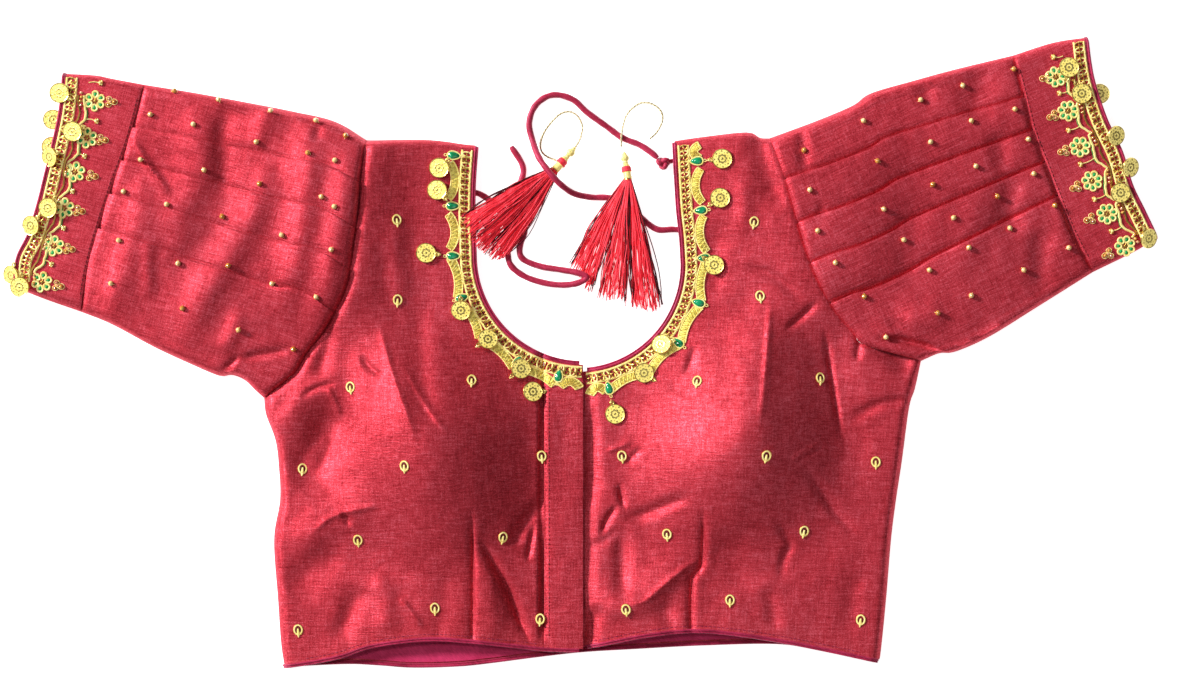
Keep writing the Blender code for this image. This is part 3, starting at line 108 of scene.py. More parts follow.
# The cloth raised beside each armhole seam, then folds and creases: half width on the left and on the
# right of the way it runs, height, and the way's points (x, y)
RIDGES = {
    "right": (28, 56, 11.0, (-152, 400), (-157.5, 319), (-165, 269), (-190, 226)),
    "left": (48, 48, 6.0, (131, 400), (149.5, 315), (159.3, 284), (189, 236)),
}
CREASES = {
    "front_right": (
        (34, 40, 7.0, (-80, 28), (-90, 85), (-116, 158), (-134, 225), (-146, 278)),
        (22, 12, -2.6, (-34, 70), (-33, 130), (-42, 185)),
        (22, 9, 3.0, (-114, 157), (-128, 194), (-138, 225), (-144, 255)),
        (2.2, 2.2, 1.1, (-115, 158), (-122, 178), (-134, 211), (-142, 241)),
        (1.6, 2.4, 0.8, (-94, 165), (-104, 178), (-114, 193), (-125, 212)),
        (10, 13, 3.5, (-214, 160), (-198, 186), (-181, 199), (-163, 209)),
        (15, 12, -6.5, (-204, 130), (-186, 148), (-174, 168), (-168, 190)),
        (4, 5, -2.4, (-186, 202), (-181, 222), (-173, 243)),
        (3, 3.5, 1.6, (-152, 187), (-153, 202), (-158, 216), (-163, 223)),
        (2, 2.4, -1.5, (-155, 220), (-148, 211), (-138, 204)),
        (2, 2, 1.2, (-169, 176), (-174, 188), (-179, 198)),
        (2, 2, -1.5, (-198, 190), (-186, 197), (-173, 200)),
        (16, 16, 4.0, (-206, 82), (-190, 94), (-180, 104), (-160, 111), (-142, 115)),
        (2, 2, 1.0, (-190, 94), (-180, 104), (-169, 109), (-142, 115)),
        (2.4, 2.4, -1.5, (-170, 108), (-165, 106), (-164, 100)),
        (12, 12, -3.0, (-206, 48), (-190, 70), (-168, 84)),
        (9, 9, 3.5, (-60, 16), (-64, 40), (-66, 62), (-72, 84)),
        (4, 3.5, -3.4, (-36, 17), (-43, 31), (-57, 64), (-74, 93)),
        (1.6, 1.6, -1.2, (-36, 17), (-43, 31), (-57, 64), (-74, 93)),
        (5, 5, -3.0, (-50, 84), (-44, 97), (-36, 108), (-27, 120)),
        (2, 2.2, -1.8, (-39, 74), (-37, 87), (-34, 102)),
        (6, 7, -2.4, (-174, 18), (-164, 40), (-155, 59)),
        (9, 8, 2.6, (-140, 20), (-138, 45), (-146, 70)),
        (2, 2, 1.0, (-129, 50), (-121, 41), (-112, 29)),
        (8, 8, -1.8, (-103, 16), (-98, 45), (-96, 75)),
        (8, 9, -2.2, (-108, 256), (-114, 237), (-112, 200), (-104, 170)),
        (7, 8, 2.0, (-125, 251), (-130, 286), (-131, 318)),
        (1.3, 5, 1.0, (-75, 24), (-75, 70), (-75, 112)),
    ),
    "front_left": (
        (42, 36, 5.0, (84, 80), (98, 128), (120, 170), (128, 220), (132, 268)),
        (18, 12, 3.0, (122, 150), (122, 171), (127, 209), (131, 261)),
        (2.2, 2.2, 1.1, (122, 171), (125, 188), (129, 230), (131, 258)),
        (20, 16, -3.6, (186, 125), (182, 156), (175, 199), (168, 246)),
        (2.2, 2.2, -1.5, (182, 160), (178, 180), (172, 220), (169, 239)),
        (2.4, 2.4, -1.9, (145, 146), (156, 152), (169, 158)),
        (4, 3, -2.2, (150, 141), (162, 130), (178, 108), (192, 94)),
        (3, 3, -2.0, (138, 62), (141, 79), (145, 88), (134, 104)),
        (5, 5, -1.8, (135, 26), (132, 46), (127, 57)),
        (16, 9, 4.0, (4, 38), (20, 43), (43, 48), (62, 65), (82, 77)),
        (1.8, 1.8, 1.1, (31, 45), (43, 48), (54, 57), (71, 71), (82, 77)),
        (4, 3.5, -2.8, (26, 109), (36, 106), (59, 115), (76, 122)),
        (2, 2, -1.8, (29, 112), (27, 120), (25, 130)),
        (2.2, 2.2, -1.8, (12, 93), (18, 106), (24, 115)),
        (3, 3, -1.5, (4, 85), (15, 90), (25, 99)),
        (5, 6, -3.0, (27, 47), (27, 75), (27, 102)),
        (4, 5, -3.0, (4, 12), (6, 31), (13, 46)),
        (5, 6, -2.6, (6, 110), (6, 157), (5, 185)),
        (2, 2, 1.1, (16, 152), (24, 155), (34, 159)),
        (2, 2.4, -1.1, (30, 144), (35, 149), (41, 155)),
        (3, 4, -1.6, (110, 281), (127, 278), (141, 270), (153, 258)),
        (2.4, 2.6, -1.7, (141, 237), (152, 246), (164, 257)),
        (3.4, 3.4, -2.5, (187, 174), (198, 181), (211, 186), (233, 189)),
        (2.4, 2.4, -1.4, (192, 215), (193, 225), (195, 232)),
        (9, 8, -4.5, (206, 234), (219, 221), (233, 208)),
        (2, 3, -1.2, (71, 206), (75, 215), (78, 226)),
        (3, 3, -1.1, (59, 200), (69, 194), (80, 195)),
        (9, 7, -3.4, (140, 320), (128, 352), (121, 384)),
        (12, 12, -2.0, (111, 48), (106, 76), (107, 104)),
        (8, 8, -1.8, (184, 20), (188, 48), (192, 73)),
        (5, 5, -1.6, (65, 20), (59, 36), (57, 48)),
        (8, 8, -2.0, (93, 258), (92, 285), (93, 314)),
        (6, 6, 1.5, (111, 300), (113, 325), (112, 348)),
        (1.3, 5, 0.9, (78, 30), (79, 62), (86, 76), (87, 112)),
    ),
    "sleeve_right": (
        (11, 14, 3.6, (-334, 236), (-322, 275), (-312, 312), (-306, 350)),
        (17, 14, 4.2, (-296, 280), (-284, 309), (-268, 356), (-274, 400)),
        (14, 10, 4.0, (-281, 222), (-267, 255), (-240, 300), (-225, 332), (-220, 362)),
        (13, 10, 4.0, (-212, 236), (-205, 265), (-198, 293), (-192, 345), (-191, 388)),
        (12, 9, 4.0, (-196, 225), (-181, 258), (-172, 300), (-164, 342), (-162, 372)),
        (9, 9, 3.0, (-232, 362), (-222, 385), (-220, 398)),
        (2.4, 1.8, 2.2, (-287, 329), (-296, 342), (-306, 356), (-316, 372)),
        (2.4, 2, -2.0, (-240, 218), (-225, 220), (-204, 223)),
        (2, 2, -1.6, (-253, 209), (-246, 214), (-241, 220)),
        (7, 7, -2.4, (-250, 330), (-252, 363), (-250, 396)),
        (5, 5, 1.8, (-303, 258), (-304, 285), (-302, 303)),
        (3, 3, -1.5, (-184, 369), (-186, 374), (-183, 380)),
        (6, 6, 2.0, (-253, 220), (-246, 234), (-238, 252)),
    ),
    "sleeve_left": (
        (34, 24, 3.4, (196, 262), (196, 300), (198, 349), (197, 395)),
        (4, 4, -2.2, (154, 346), (154, 363), (152, 380)),
        (12, 12, -2.6, (270, 380), (276, 398), (279, 425)),
        (9, 8, -3.0, (302, 300), (298, 325), (304, 348)),
        (8, 9, -2.6, (321, 264), (320, 285), (322, 310)),
        (3, 3, -1.4, (166, 317), (167, 323), (167, 327)),
        (2.4, 2.4, -3.0, (206, 232), (222, 230), (236, 227), (251, 223)),
        (3, 3, -1.6, (211, 244), (222, 239), (231, 227)),
        (9, 9, 2.0, (223, 240), (237, 246), (254, 250)),
        (10, 10, -1.2, (228, 262), (228, 300), (232, 340)),
        (10, 10, 1.4, (262, 270), (272, 310), (280, 345)),
        (7, 7, -1.8, (295, 346), (292, 363), (295, 379)),
        (6, 6, -1.5, (240, 392), (240, 402), (241, 412)),
        (9, 9, 1.6, (335, 285), (336, 320), (326, 350)),
    ),
}
SLEEVE_UPPER = {
    "right": ((-152, 370.6), (-174, 383.6), (-203, 390.6), (-239, 397.6), (-274, 404), (-308, 409.5)),
    "left": ((131, 372), (163, 383.8), (189, 394.8), (202, 403.5), (232, 412.3), (261, 420.2), (301.7, 430)),
}
SLEEVE_LOWER = {
    "right": ((-224, 189.7), (-230.4, 195.5), (-237, 202), (-246.4, 205.8), (-255, 205.1), (-276, 213.8),
        (-301, 225.4), (-331, 241.5), (-352, 250)),
    "left": ((237.3, 215.6), (250, 221), (261, 222), (285, 232.6), (320, 254.2), (357.7, 277.9)),
}
CUFF_SEAM = {
    "right": ((-308, 409.5), (-317, 374.5), (-329.7, 339), (-338.5, 312), (-347.4, 280), (-352, 250)),
    "left": ((301.7, 430), (309.4, 400.5), (315.4, 377), (324, 354.4), (333, 331), (343.7, 305),
        (357.7, 277.9)),
}
CUFF_UPPER = {
    "right": ((-308, 409.5), (-331, 413.8), (-342, 416), (-365.1, 417.3)),
    "left": ((301.7, 430), (330, 439), (354, 442.7)),
}
CUFF_LOWER = {
    "right": ((-352, 250), (-381.5, 260.4), (-399, 268)),
    "left": ((357.7, 277.9), (386.4, 292), (403, 302)),
}
CUFF_EDGE = {
    "right": ((-365.1, 417.3), (-366, 401.8), (-369, 381.6), (-378, 343.7), (-382.4, 326), (-389, 304.6),
        (-397, 288), (-399, 268)),
    "left": ((354, 442.7), (356, 425), (359.3, 409), (367.5, 384.7), (378, 362.6), (385, 339.5), (394, 320.8),
        (403, 302)),
}
# The valley along the armhole seam, on its front's and its sleeve's side: depth, half width
SEAM_VALLEY = {"right": {"front": (3.2, 3.6), "sleeve": (2.6, 1.7)},
               "left": {"front": (1.3, 1.5), "sleeve": (1.5, 1.4)}}
SLEEVE_TOP, SLEEVE_ARCH, CUFF_TOP = 11.5, 2.0, 10.0
SLEEVE_ROUND, SLEEVE_FOOT = 6.0, 2.6
TUCK_STEP, TUCK_SLIT, TUCK_LAP = 1.7, 0.5, 2.1
TUCK_DIP, TUCK_PUFF = {"right": 0.8, "left": 1.7}, {"right": 0.3, "left": 0.8}
# Each tuck's place across the sleeve, as a share of its width, at the shoulder and at the cuff
TUCKS = ((0.154, 0.19), (0.31, 0.337), (0.455, 0.486), (0.61, 0.64))
# How far apart the points of the cloth are, and how many rings a sleeve and a cuff have
FRONT_STEP, PLACKET_STEP, BACK_STEP, SLEEVE_RINGS, CUFF_RINGS = 2.3, 1.9, 5.0, 84, 16
BAND, CUFF_BAND = (4.0, 11.4), (3.6, 11.2)       # the chain bands' edges, from the piping's outside
RING_PITCH, RAIL, RING_WIRE, HOOK_WIRE, THIN_THREAD = 3.75, 0.58, 0.56, 0.46, 0.3
STONE_LENGTH, STONE_WIDTH, STONE_RIM = 9.6, 7.8, 1.5
CRESCENT_LENGTH, CRESCENT_OUT, CRESCENT_BOW, CRESCENT_HALF = 25.0, 14.6, 4.4, 2.75
SLEEVE_BEAD, CUFF_BEAD, PETAL_OUT = 1.95, 1.15, 4.65
NECK_BAND = {"right": ((-0.9, 215.0), (-75, 363.8)), "left": ((1.8, 211.0), (64, 367.0))}
STONES = {
    "right": ((-90.6, 359.5), (-91.4, 324.1), (-91, 289.1), (-85, 259.7), (-67.2, 233.8), (-45.9, 214.9),
        (-17.1, 205.1)),
    "left": ((79.8, 355.6), (82.6, 321), (84.7, 287.7), (81.2, 256.2), (66.9, 228.2), (43.4, 210.7),
        (18.2, 196.4)),
}
BUTTAS = {
    "right": ((-130.2, 314.3), (-129.5, 258.3), (-77.7, 202.3), (-162.4, 197.4), (-196.7, 140),
        (-123.9, 142.8), (-157.5, 90.3), (-56, 92.4), (-199.5, 27.3), (-103.6, 42.7), (-30.1, 35),
        (-28.9, 149.1)),
    "left": ((119.7, 312.9), (123.9, 261.1), (79.8, 201.6), (165.9, 203.7), (27.3, 149.1), (127.4, 149.8),
        (205.1, 144.9), (58.8, 94.5), (154.7, 96.6), (30.1, 42), (102.9, 48.3), (194.6, 34.3)),
}
SLEEVE_BEADS = {
    "left": ((301, 419.8), (265.5, 408.4), (235.9, 398.2), (196, 383.3), (154.7, 362.8), (302, 391.7),
        (271.4, 383.3), (242.9, 368.7), (205.4, 355.2), (158.3, 335.1), (311.3, 370.7), (274.5, 351.8),
        (244.3, 338.9), (209.7, 321.6), (163.8, 306.5), (315.2, 346.5), (289.3, 330.8), (259, 315.7),
        (223.9, 300.2), (176.1, 284.3), (329.9, 324.3), (298.5, 308.2), (269.4, 294.9), (242.1, 279.2),
        (196.4, 260.9), (339.4, 294.9), (307.9, 279.2), (271.2, 261.5), (247.6, 249.1), (211.7, 233)),
    "right": ((-286.1, 403.6), (-255.1, 397.5), (-218.5, 389.7), (-186.7, 382.9), (-165.8, 372.6),
        (-302.7, 388.1), (-272.2, 380.9), (-227.9, 368.8), (-191.7, 360.6), (-172.7, 355.4), (-308.5, 357),
        (-264.7, 349), (-225.6, 339.3), (-182.2, 330.2), (-321.1, 334.3), (-290.4, 325.2), (-251.8, 316.7),
        (-172.7, 323.3), (-324, 300), (-282.9, 284), (-247.7, 282.5), (-209.7, 303.6), (-174.9, 293.3),
        (-329.5, 269.7), (-279.5, 252.5), (-216.7, 270), (-185.4, 260.8), (-241, 237.5), (-202.4, 224)),
}
TIE_WIDTH, TIE_SQUASH = 4.4, 0.92
# Routes and tips are (x, y, z), or (x, y) where they lie at the height they mostly have
TIE_LOW, TIPS_LOW, LOOP_LOW = 2.5, 1.6, 1.2
TIE_ROUTES = {
    "left": ((72, 307.3, 2.6), (63, 308), (52, 308), (42, 315), (32, 325), (18.9, 330), (5.6, 330.5, 3.5),
        (-6.5, 333, 8), (-16, 339.5, 13.6), (-23.4, 347.5, 15.5), (-30.8, 358, 11.5), (-35.6, 371, 4),
        (-37.8, 382), (-34.6, 393), (-27, 400.3), (-17.7, 402.3), (-6.5, 398.6), (2.9, 390), (17, 379.8),
        (27.3, 372.3), (39.2, 367.5, 2.6), (47, 362.4, 3.2), (52.3, 358, 3.7)),
    "right": ((-79.3, 333, 2.6), (-73, 333), (-62, 326), (-50, 318), (-41, 309), (-44.5, 295), (-42, 287),
        (-30, 282, 3.2), (-16, 279.6, 5.6), (-4, 277.4, 7.6), (2.5, 274.3, 7.8), (-3, 270.4, 7.4),
        (-14, 268.9, 5.2), (-27, 270.4, 3.0), (-41, 275), (-50.5, 282.5), (-53, 292), (-54, 304),
        (-50.5, 326), (-43, 343), (-42.5, 353), (-50.4, 366.1)),
}
TIE_KNOT, TIE_KNOT_SIZE = (56.3, 354.4, 4.2), (5.2, 4.6, 3.9)
TASSELS = {
    "right": {
        "root": (-19.5, 349.5, 8.2), "end": (-5.5, 365.4, 5.0),
        "tips": ((-84, 318, 15.5), (-79, 304, 15.0), (-70, 294, 9.5), (-61, 288, 6.0), (-50, 292, 5.0)),
        "gaps": ((0.3, 0.33), (0.62, 0.64)),
    },
    "left": {
        "root": (31.3, 343, 8.2), "end": (28.7, 362, 5.0),
        "tips": ((-9, 285), (-1, 272), (9, 263), (20, 259), (27, 257), (36, 254), (47, 252), (56, 256)),
        "gaps": ((0.33, 0.39), (0.65, 0.7)),
    },
}
STRANDS, STRAND_RADII = 290, (0.32, 0.46)
HEAD_LENGTH, WRAPS, LOOP_RADIUS = 5.0, 7, 0.75
# The turned cap: share of its length, radius
CAP_ROWS = ((0.0, 3.3), (0.03, 3.6), (0.09, 3.6), (0.12, 3.25), (0.16, 3.5), (0.22, 3.25), (0.28, 2.8),
    (0.36, 2.2), (0.42, 1.85), (0.46, 2.15), (0.5, 1.8), (0.55, 1.75), (0.58, 2.3), (0.62, 2.7), (0.7, 2.85),
    (0.78, 2.65), (0.83, 2.1), (0.86, 1.6), (0.89, 1.85), (0.93, 1.4), (0.97, 1.1), (1.0, 0.9))
WRAPPED = 0.28           # the share of the cap that thread covers
CAP_SECTORS = 30
LOOPS = {
    "right": ((-5.25, 365.7, 4.95), (-2.4, 370.6, 3.6), (-0.9, 376, 2.0), (-0.6, 380.5, 1.4), (-3.6, 387),
        (-9, 390.6), (-15.5, 389.3), (-21.5, 384), (-26.5, 377.4), (-29.6, 370, 1.4), (-29.5, 363.5, 2.6),
        (-25.5, 359, 5.0), (-19.3, 356.4, 7.0)),
    "left": ((26.7, 366, 4.0), (27.2, 376, 5.8), (29.8, 386.6, 3.4), (34.6, 393, 1.4), (41.5, 397),
        (49.0, 395.8), (54.8, 390.6), (55.6, 384), (52, 376.5, 1.6), (47, 371.5, 3.6)),
}
# Cuff embroidery: flowers, the bead clusters past them, and the heads of the stalks between (x, y)
CUFF_WORK = {
    "right": (
        ((-341.6, 397.6), (-347.2, 371.7), (-355.6, 347.9), (-363.3, 322.7), (-370.3, 296.1),
         (-378.7, 270.9)),
        ((-330.4, 396.9), (-336.7, 370.3), (-343.7, 345.1), (-352.8, 320.6), (-359.8, 294), (-367.5, 268.1)),
        ((-338.1, 410.2), (-340.9, 383.6), (-349.3, 359.1), (-357.7, 334.6), (-364, 308.7), (-372.4, 283.5)),
    ),
    "left": (
        ((331.1, 414.4), (339.5, 390.6), (347.9, 365.4), (356.3, 341.6), (366.8, 318.5), (379.4, 296.1)),
        ((324.1, 413.7), (329, 387.1), (336.7, 362.6), (345.1, 337.4), (354.9, 315), (367.5, 290.5)),
        ((329.7, 428.4), (333.9, 403.2), (340.2, 377.3), (348.6, 353.5), (358.4, 329), (370.3, 306.6)),
    ),
}
# Coins: place (x, y) and the direction of the eyelet in degrees
COINS = {
    "neck_right": ((-100.8, 350.7, 41), (-102.2, 335.3, -46), (-109.9, 291.2, -6), (-85.4, 251.0, 90),
        (-66.5, 231, -145), (-43.3, 210.3, -142), (-35, 194.2, 4)),
    "neck_left": ((97.3, 357, -175), (95.9, 329.7, -147), (91.7, 282.8, 145), (54.6, 227.5, 11),
        (42.7, 207.2, -35), (22.4, 178.5, 105)),
    "cuff_right": ((-366.5, 403.2, -30), (-357.1, 376.2, 20), (-373.5, 358.4, 20), (-374.2, 322.7, 50),
        (-386.5, 310.3, 40), (-401.0, 275.5, 60), (-394.1, 267.4, 80)),
    "cuff_left": ((339.9, 421, -100), (348.7, 402.6, 120), (373.1, 373.1, 190), (383.5, 351, 170),
        (375.9, 333.2, 100), (396.1, 301.2, 130)),
    "cuff_right_in": ((-371.8, 385.0, -20), (-372.9, 365.9, 20)),
    "cuff_left_in": ((362.4, 403.0, 190),),
}
COIN_RADIUS, COIN_WALL, COIN_LUG, COIN_LINK = 7.0, 1.1, 8.15, 9.3


# Curves, outlines and heights

STEP = 2.6                       # the usual distance between a curve's points
SIGN = {"right": 1, "left": -1}


def spline(points, step=STEP):
    """Points about `step` apart on a smooth curve through `points`, the same curve as the CAD model's."""
    knots = np.array(points, float)
    knots = np.vstack((2 * knots[0] - knots[1], knots, 2 * knots[-1] - knots[-2]))
    found = []
    for a, b, c, d in zip(knots, knots[1:], knots[2:], knots[3:]):
        count = max(1, round(np.linalg.norm(c - b) / step))
        t = (np.arange(count) / count)[:, None]
        found.append(0.5 * (2 * b + (c - a) * t + (2 * a - 5 * b + 4 * c - d) * t**2
                            + (3 * b - a - 3 * c + d) * t**3))
    return np.vstack((*found, knots[-2]))


def unit(vectors):
    return vectors / np.maximum(np.linalg.norm(vectors, axis=-1, keepdims=True), 1e-9)


def cross(a, b):
    return a[..., 0] * b[..., 1] - a[..., 1] * b[..., 0]


def distances(path):
    """How far along a path each of its points lies."""
    return np.concatenate(((0,), np.cumsum(np.linalg.norm(np.diff(path, axis=0), axis=1))))


def turns(count):
    return np.arange(count) * TAU / count


def heading(angle):
    return np.array((math.cos(angle), math.sin(angle)))


def raised(flat, height):
    """Flat points at a height, or at a height each."""
    return np.column_stack((flat, np.broadcast_to(height, len(flat))))


def bell(distance, width):
    return np.exp(-((distance / width) ** 2))


def smooth(value):
    value = np.clip(value, 0, 1)
    return value * value * (3 - 2 * value)


def quarter_round(distance, radius):
    return np.sqrt(1 - (1 - np.clip(distance / radius, 0, 1)) ** 2)


def cornered(first, second):
    """Two curves cut, or run on, to where the end of one crosses the start of the other."""
    a, b = first[:-1, None], first[1:, None]
    c, d = second[None, :-1], second[None, 1:]
    size = cross(b - a, d - c)
    size = np.where(np.abs(size) < 1e-9, 1e-9, size)
    t, u = cross(c - a, d - c) / size, cross(c - a, b - a) / size
    hits = np.argwhere((t >= 0) & (t <= 1) & (u >= 0) & (u <= 1)).tolist()
    i, j = max(hits, key=lambda hit: (hit[0], -hit[1])) if hits else (len(first) - 2, 0)
    corner = first[i] + t[i, j] * (first[i + 1] - first[i])
    return np.vstack((first[: i + 1], corner)), np.vstack((corner, second[j + 1:]))


def outline_of(*curves):
    """One closed outline from curves that meet, each running on to the next one's start."""
    curves = list(curves)
    for i in range(len(curves)):
        j = (i + 1) % len(curves)
        curves[i], curves[j] = cornered(curves[i], curves[j])
    outline = np.vstack([curve[:-1] for curve in curves])
    return outline[np.linalg.norm(outline - np.roll(outline, 1, axis=0), axis=1) > 0.05]


def left_of(ahead):
    """Unit vectors to the left of flat directions."""
    return unit(np.stack((-ahead[..., 1], ahead[..., 0]), axis=-1))


def moved_left(curve, distance):
    return curve + distance * left_of(np.gradient(curve[:, :2], axis=0))


class Curve:
    """A curve seen from above, measured along its length."""

    def __init__(self, points):
        self.points = np.asarray(points, float)[:, :2]
        self.ahead = np.diff(self.points, axis=0)
        self.spans = np.linalg.norm(self.ahead, axis=1)
        self.starts = distances(self.points)
        self.length = self.starts[-1]

    def at(self, along):
        along = np.asarray(along, float)
        i = np.clip(np.searchsorted(self.starts, along, side="right") - 1, 0, len(self.spans) - 1)
        share = (along - self.starts[i]) / self.spans[i]
        return self.points[i] + share[..., None] * self.ahead[i]

    def part(self, share):
        return self.at(share * self.length)

    def beside(self, along, offset):
        """The place this far to the left of the curve."""
        along = np.asarray(along, float)
        left = left_of(self.at(along + 1) - self.at(along - 1))
        return self.at(along) + np.asarray(offset)[..., None] * left

    def nearest(self, points):
        """Arrays of (distance along, distance away, 1 on the left or -1) of the closest places."""
        parts = []
        for block in np.array_split(points, max(1, len(points) // 1500)):
            off = block[:, None] - self.points[None, :-1]
            share = np.clip((off * self.ahead).sum(2) / self.spans**2, 0, 1)
            away = np.linalg.norm(off - share[..., None] * self.ahead, axis=2)
            best = away.argmin(1)
            rows = np.arange(len(block))
            along = self.starts[best] + share[rows, best] * self.spans[best]
            parts.append((along, away[rows, best], np.sign(cross(self.ahead[best], off[rows, best]))))
        return [np.concatenate(part) for part in zip(*parts)]

    def away(self, points):
        return self.nearest(points)[1]

    def along(self, place):
        return self.nearest(np.array((place,), float))[0][0]


def inside(outline, points):
    """Which points the closed outline holds."""
    held = np.zeros(len(points), bool)
    for a, b in zip(outline, np.roll(outline, -1, axis=0)):
        if a[1] != b[1]:
            crosses = (a[1] > points[:, 1]) != (b[1] > points[:, 1])
            held ^= crosses & (points[:, 0] < a[0] + (points[:, 1] - a[1]) / (b[1] - a[1]) * (b[0] - a[0]))
    return held


def arc_points(arc, first, last):
    x, y, radius = arc
    angles = np.linspace(first, last, round(radius * abs(last - first) / STEP) + 1)
    return np.stack((x + radius * np.cos(angles), y + radius * np.sin(angles)), axis=1)


def neck_curve(side):
    """The front's neck edge, from the middle up past the shoulder."""
    x, _, radius = NECK_ARC[side]
    first = math.asin((NECK_START[side] - x) / radius) - math.pi / 2
    arc = arc_points(NECK_ARC[side], first, -math.pi if side == "right" else 0.0)
    return np.vstack((arc, spline([arc[-1], *NECK_UPPER[side]])[1:]))


NECK = {side: Curve(neck_curve(side)) for side in SIDES}
SHOULDERS, SIDE_SEAMS, ARMHOLES, DART_LINES = (
    {side: Curve(spline(table[side])) for side in SIDES} for table in (SHOULDER, SIDE_SEAM, ARMHOLE, DARTS))


def ripples(points, seed, size, stretch=(1.0, 1.0)):
    """Soft unevenness from -1 to 1, its bumps about `size` millimetres across."""
    return np.array([noise.noise((x * stretch[0] / size, y * stretch[1] / size, seed)) for x, y in points])


def fold(row, points):
    """The height that a row's fold adds at each point."""
    left_width, right_width, rise, *way = row
    rise *= CRISP if min(left_width, right_width) < NARROW else 1
    line = Curve(spline(way, 3.0))
    along, away, side = line.nearest(points)
    end = 0.35 * line.length
    fade = smooth(along / end + 0.15) * smooth((line.length - along) / end + 0.15)
    return rise * fade * bell(away, np.where(side > 0, left_width, right_width))


def creases(kind, side, points):
    """The height that a piece's folds and creases add at each point."""
    return sum(fold(row, points) for row in (RIDGES[side], *CREASES[f"{kind}_{side}"]))


def hem_height(side, x):
    places, heights = np.array(sorted((row[0], row[2]) for row in FRONT_HEM[side])).T
    i = np.clip(np.searchsorted(places, x) - 1, 0, len(places) - 2)
    share = smooth((x - places[i]) / (places[i + 1] - places[i]))
    return heights[i] + (heights[i + 1] - heights[i]) * share


def over_hem(y):
    """0 at the hem, and 1 where the placket's own seam has its full depth."""
    return smooth((y - 14) / 20)


def front_height(side, points, fine=True):
    """Outer face of a front over the surface, with its folds, and with the cloth's fine unevenness."""
    x, y = points[:, 0], points[:, 1]
    neck_away = NECK[side].away(points)
    base = NECK_TOP + (BODY_TOP - NECK_TOP) * smooth(neck_away / NECK_SLOPE)
    base += (hem_height(side, x) - BODY_TOP) * smooth(1 - (y - 15) / HEM_SLOPE)
    cup_x, cup_y, across, up, height = CUPS[side]
    out = np.clip(np.hypot((x - cup_x) / across, (y - cup_y) / up) / CUP_SPREAD, 0, 1)
    full = base + height * (1 - out) ** 2 * (1 + 2 * out)
    along, away, _ = DART_LINES[side].nearest(points)
    near_dart = smooth((DART_LINES[side].length - along) / 30)
    for depth, width in (DART_DIP, DART_SLIT):
        full -= depth * near_dart * bell(away, width)
    beyond = (FOLDS_START[side] - x) * SIGN[side]
    full += np.maximum(smooth(beyond / 5) * creases("front", side, points), LEAST_HEIGHT - full)
    if fine:
        seed = 3.0 if side == "right" else 8.0
        inner = smooth((neck_away - 22) / 12) * smooth((y - 16) / 22)
        full += 0.5 * inner * ripples(points, seed + 20, 19, (1.0, 0.7))
        full += 0.3 * inner * ripples(points, seed + 30, 8)
        puckers = smooth(1 - (y - 14) / 26) * smooth((y - 8) / 8)
        full += 0.35 * puckers * ripples(points, seed + 40, 7, (1.0, 0.25))
    depth, width = SEAM_VALLEY[side]["front"]
    full -= depth * bell(ARMHOLES[side].away(points), width)
    if side == "left":
        full -= UNDERLAP_DROP * smooth((3 + UNDERLAP_SLOPE - x) / UNDERLAP_SLOPE)
    else:
        under = smooth((x + PLACKET_WIDTH + 5.2) / 4.4) * (x < -PLACKET_WIDTH - 0.1)
        full -= PLACKET_GROOVE * over_hem(y) * under
    share = quarter_round(SIDE_SEAMS[side].away(points), SIDE_ROUND)
    share *= quarter_round(SHOULDERS[side].away(points), SHOULDER_ROUND)
    return SEAM_FOOT + (full - SEAM_FOOT) * share


# Pieces


def set_inputs(tree, made, inputs):
    """Each input is linked, if it is given a socket, or set."""
    for key, value in inputs.items():
        if isinstance(value, bpy.types.NodeSocket):
            tree.links.new(value, made.inputs[key])
        else:
            made.inputs[key].default_value = value


def node(tree, kind, inputs, **settings):
    """A shader node's outputs."""
    made = tree.nodes.new(kind)
    for key, value in settings.items():
        setattr(made, key, value)
    set_inputs(tree, made, inputs)
    return made.outputs


class Shape:
    """Points and faces gathered into one piece. Each block of faces has a material."""

    def __init__(self):
        self.points, self.faces, self.count = [], [], 0

    def add(self, points, blocks, material):
        """Blocks are arrays of corner numbers, all their faces with as many corners."""
        points = np.asarray(points, float).reshape(-1, 3)
        self.faces += [(np.asarray(block, int) + self.count, material) for block in blocks]
        self.points.append(points)
        self.count += len(points)

    def make(self, name, sharp=40.0, stands_for=None, slot=None):
        mesh = bpy.data.meshes.new(name)
        points = (np.vstack(self.points) + SHIFT) * MM
        mesh.vertices.add(len(points))
        mesh.vertices.foreach_set("co", points.ravel())
        corners = np.concatenate([block.ravel() for block, _ in self.faces])
        sizes = np.concatenate([np.full(len(block), block.shape[1]) for block, _ in self.faces])
        names = list(dict.fromkeys(material for _, material in self.faces))
        kinds = np.concatenate([np.full(len(block), names.index(material)) for block, material in self.faces])
        mesh.loops.add(len(corners))
        mesh.loops.foreach_set("vertex_index", corners)
        mesh.polygons.add(len(sizes))
        mesh.polygons.foreach_set("loop_start", np.concatenate(((0,), np.cumsum(sizes)[:-1])))
        mesh.polygons.foreach_set("material_index", kinds)
        for material in names:
            mesh.materials.append(bpy.data.materials[material])
        mesh.update(calc_edges=True)
        mesh.validate()
        mesh.shade_smooth()
        mesh.set_sharp_from_angle(angle=math.radians(sharp))
        piece = placed(name, mesh)
        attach(piece, "root")
        if stands_for:
            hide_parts(stands_for)
        return piece


def placed(name, data):
    """A new object in the scene."""
    piece = bpy.data.objects.new(name, data)
    bpy.context.scene.collection.objects.link(piece)
    return piece


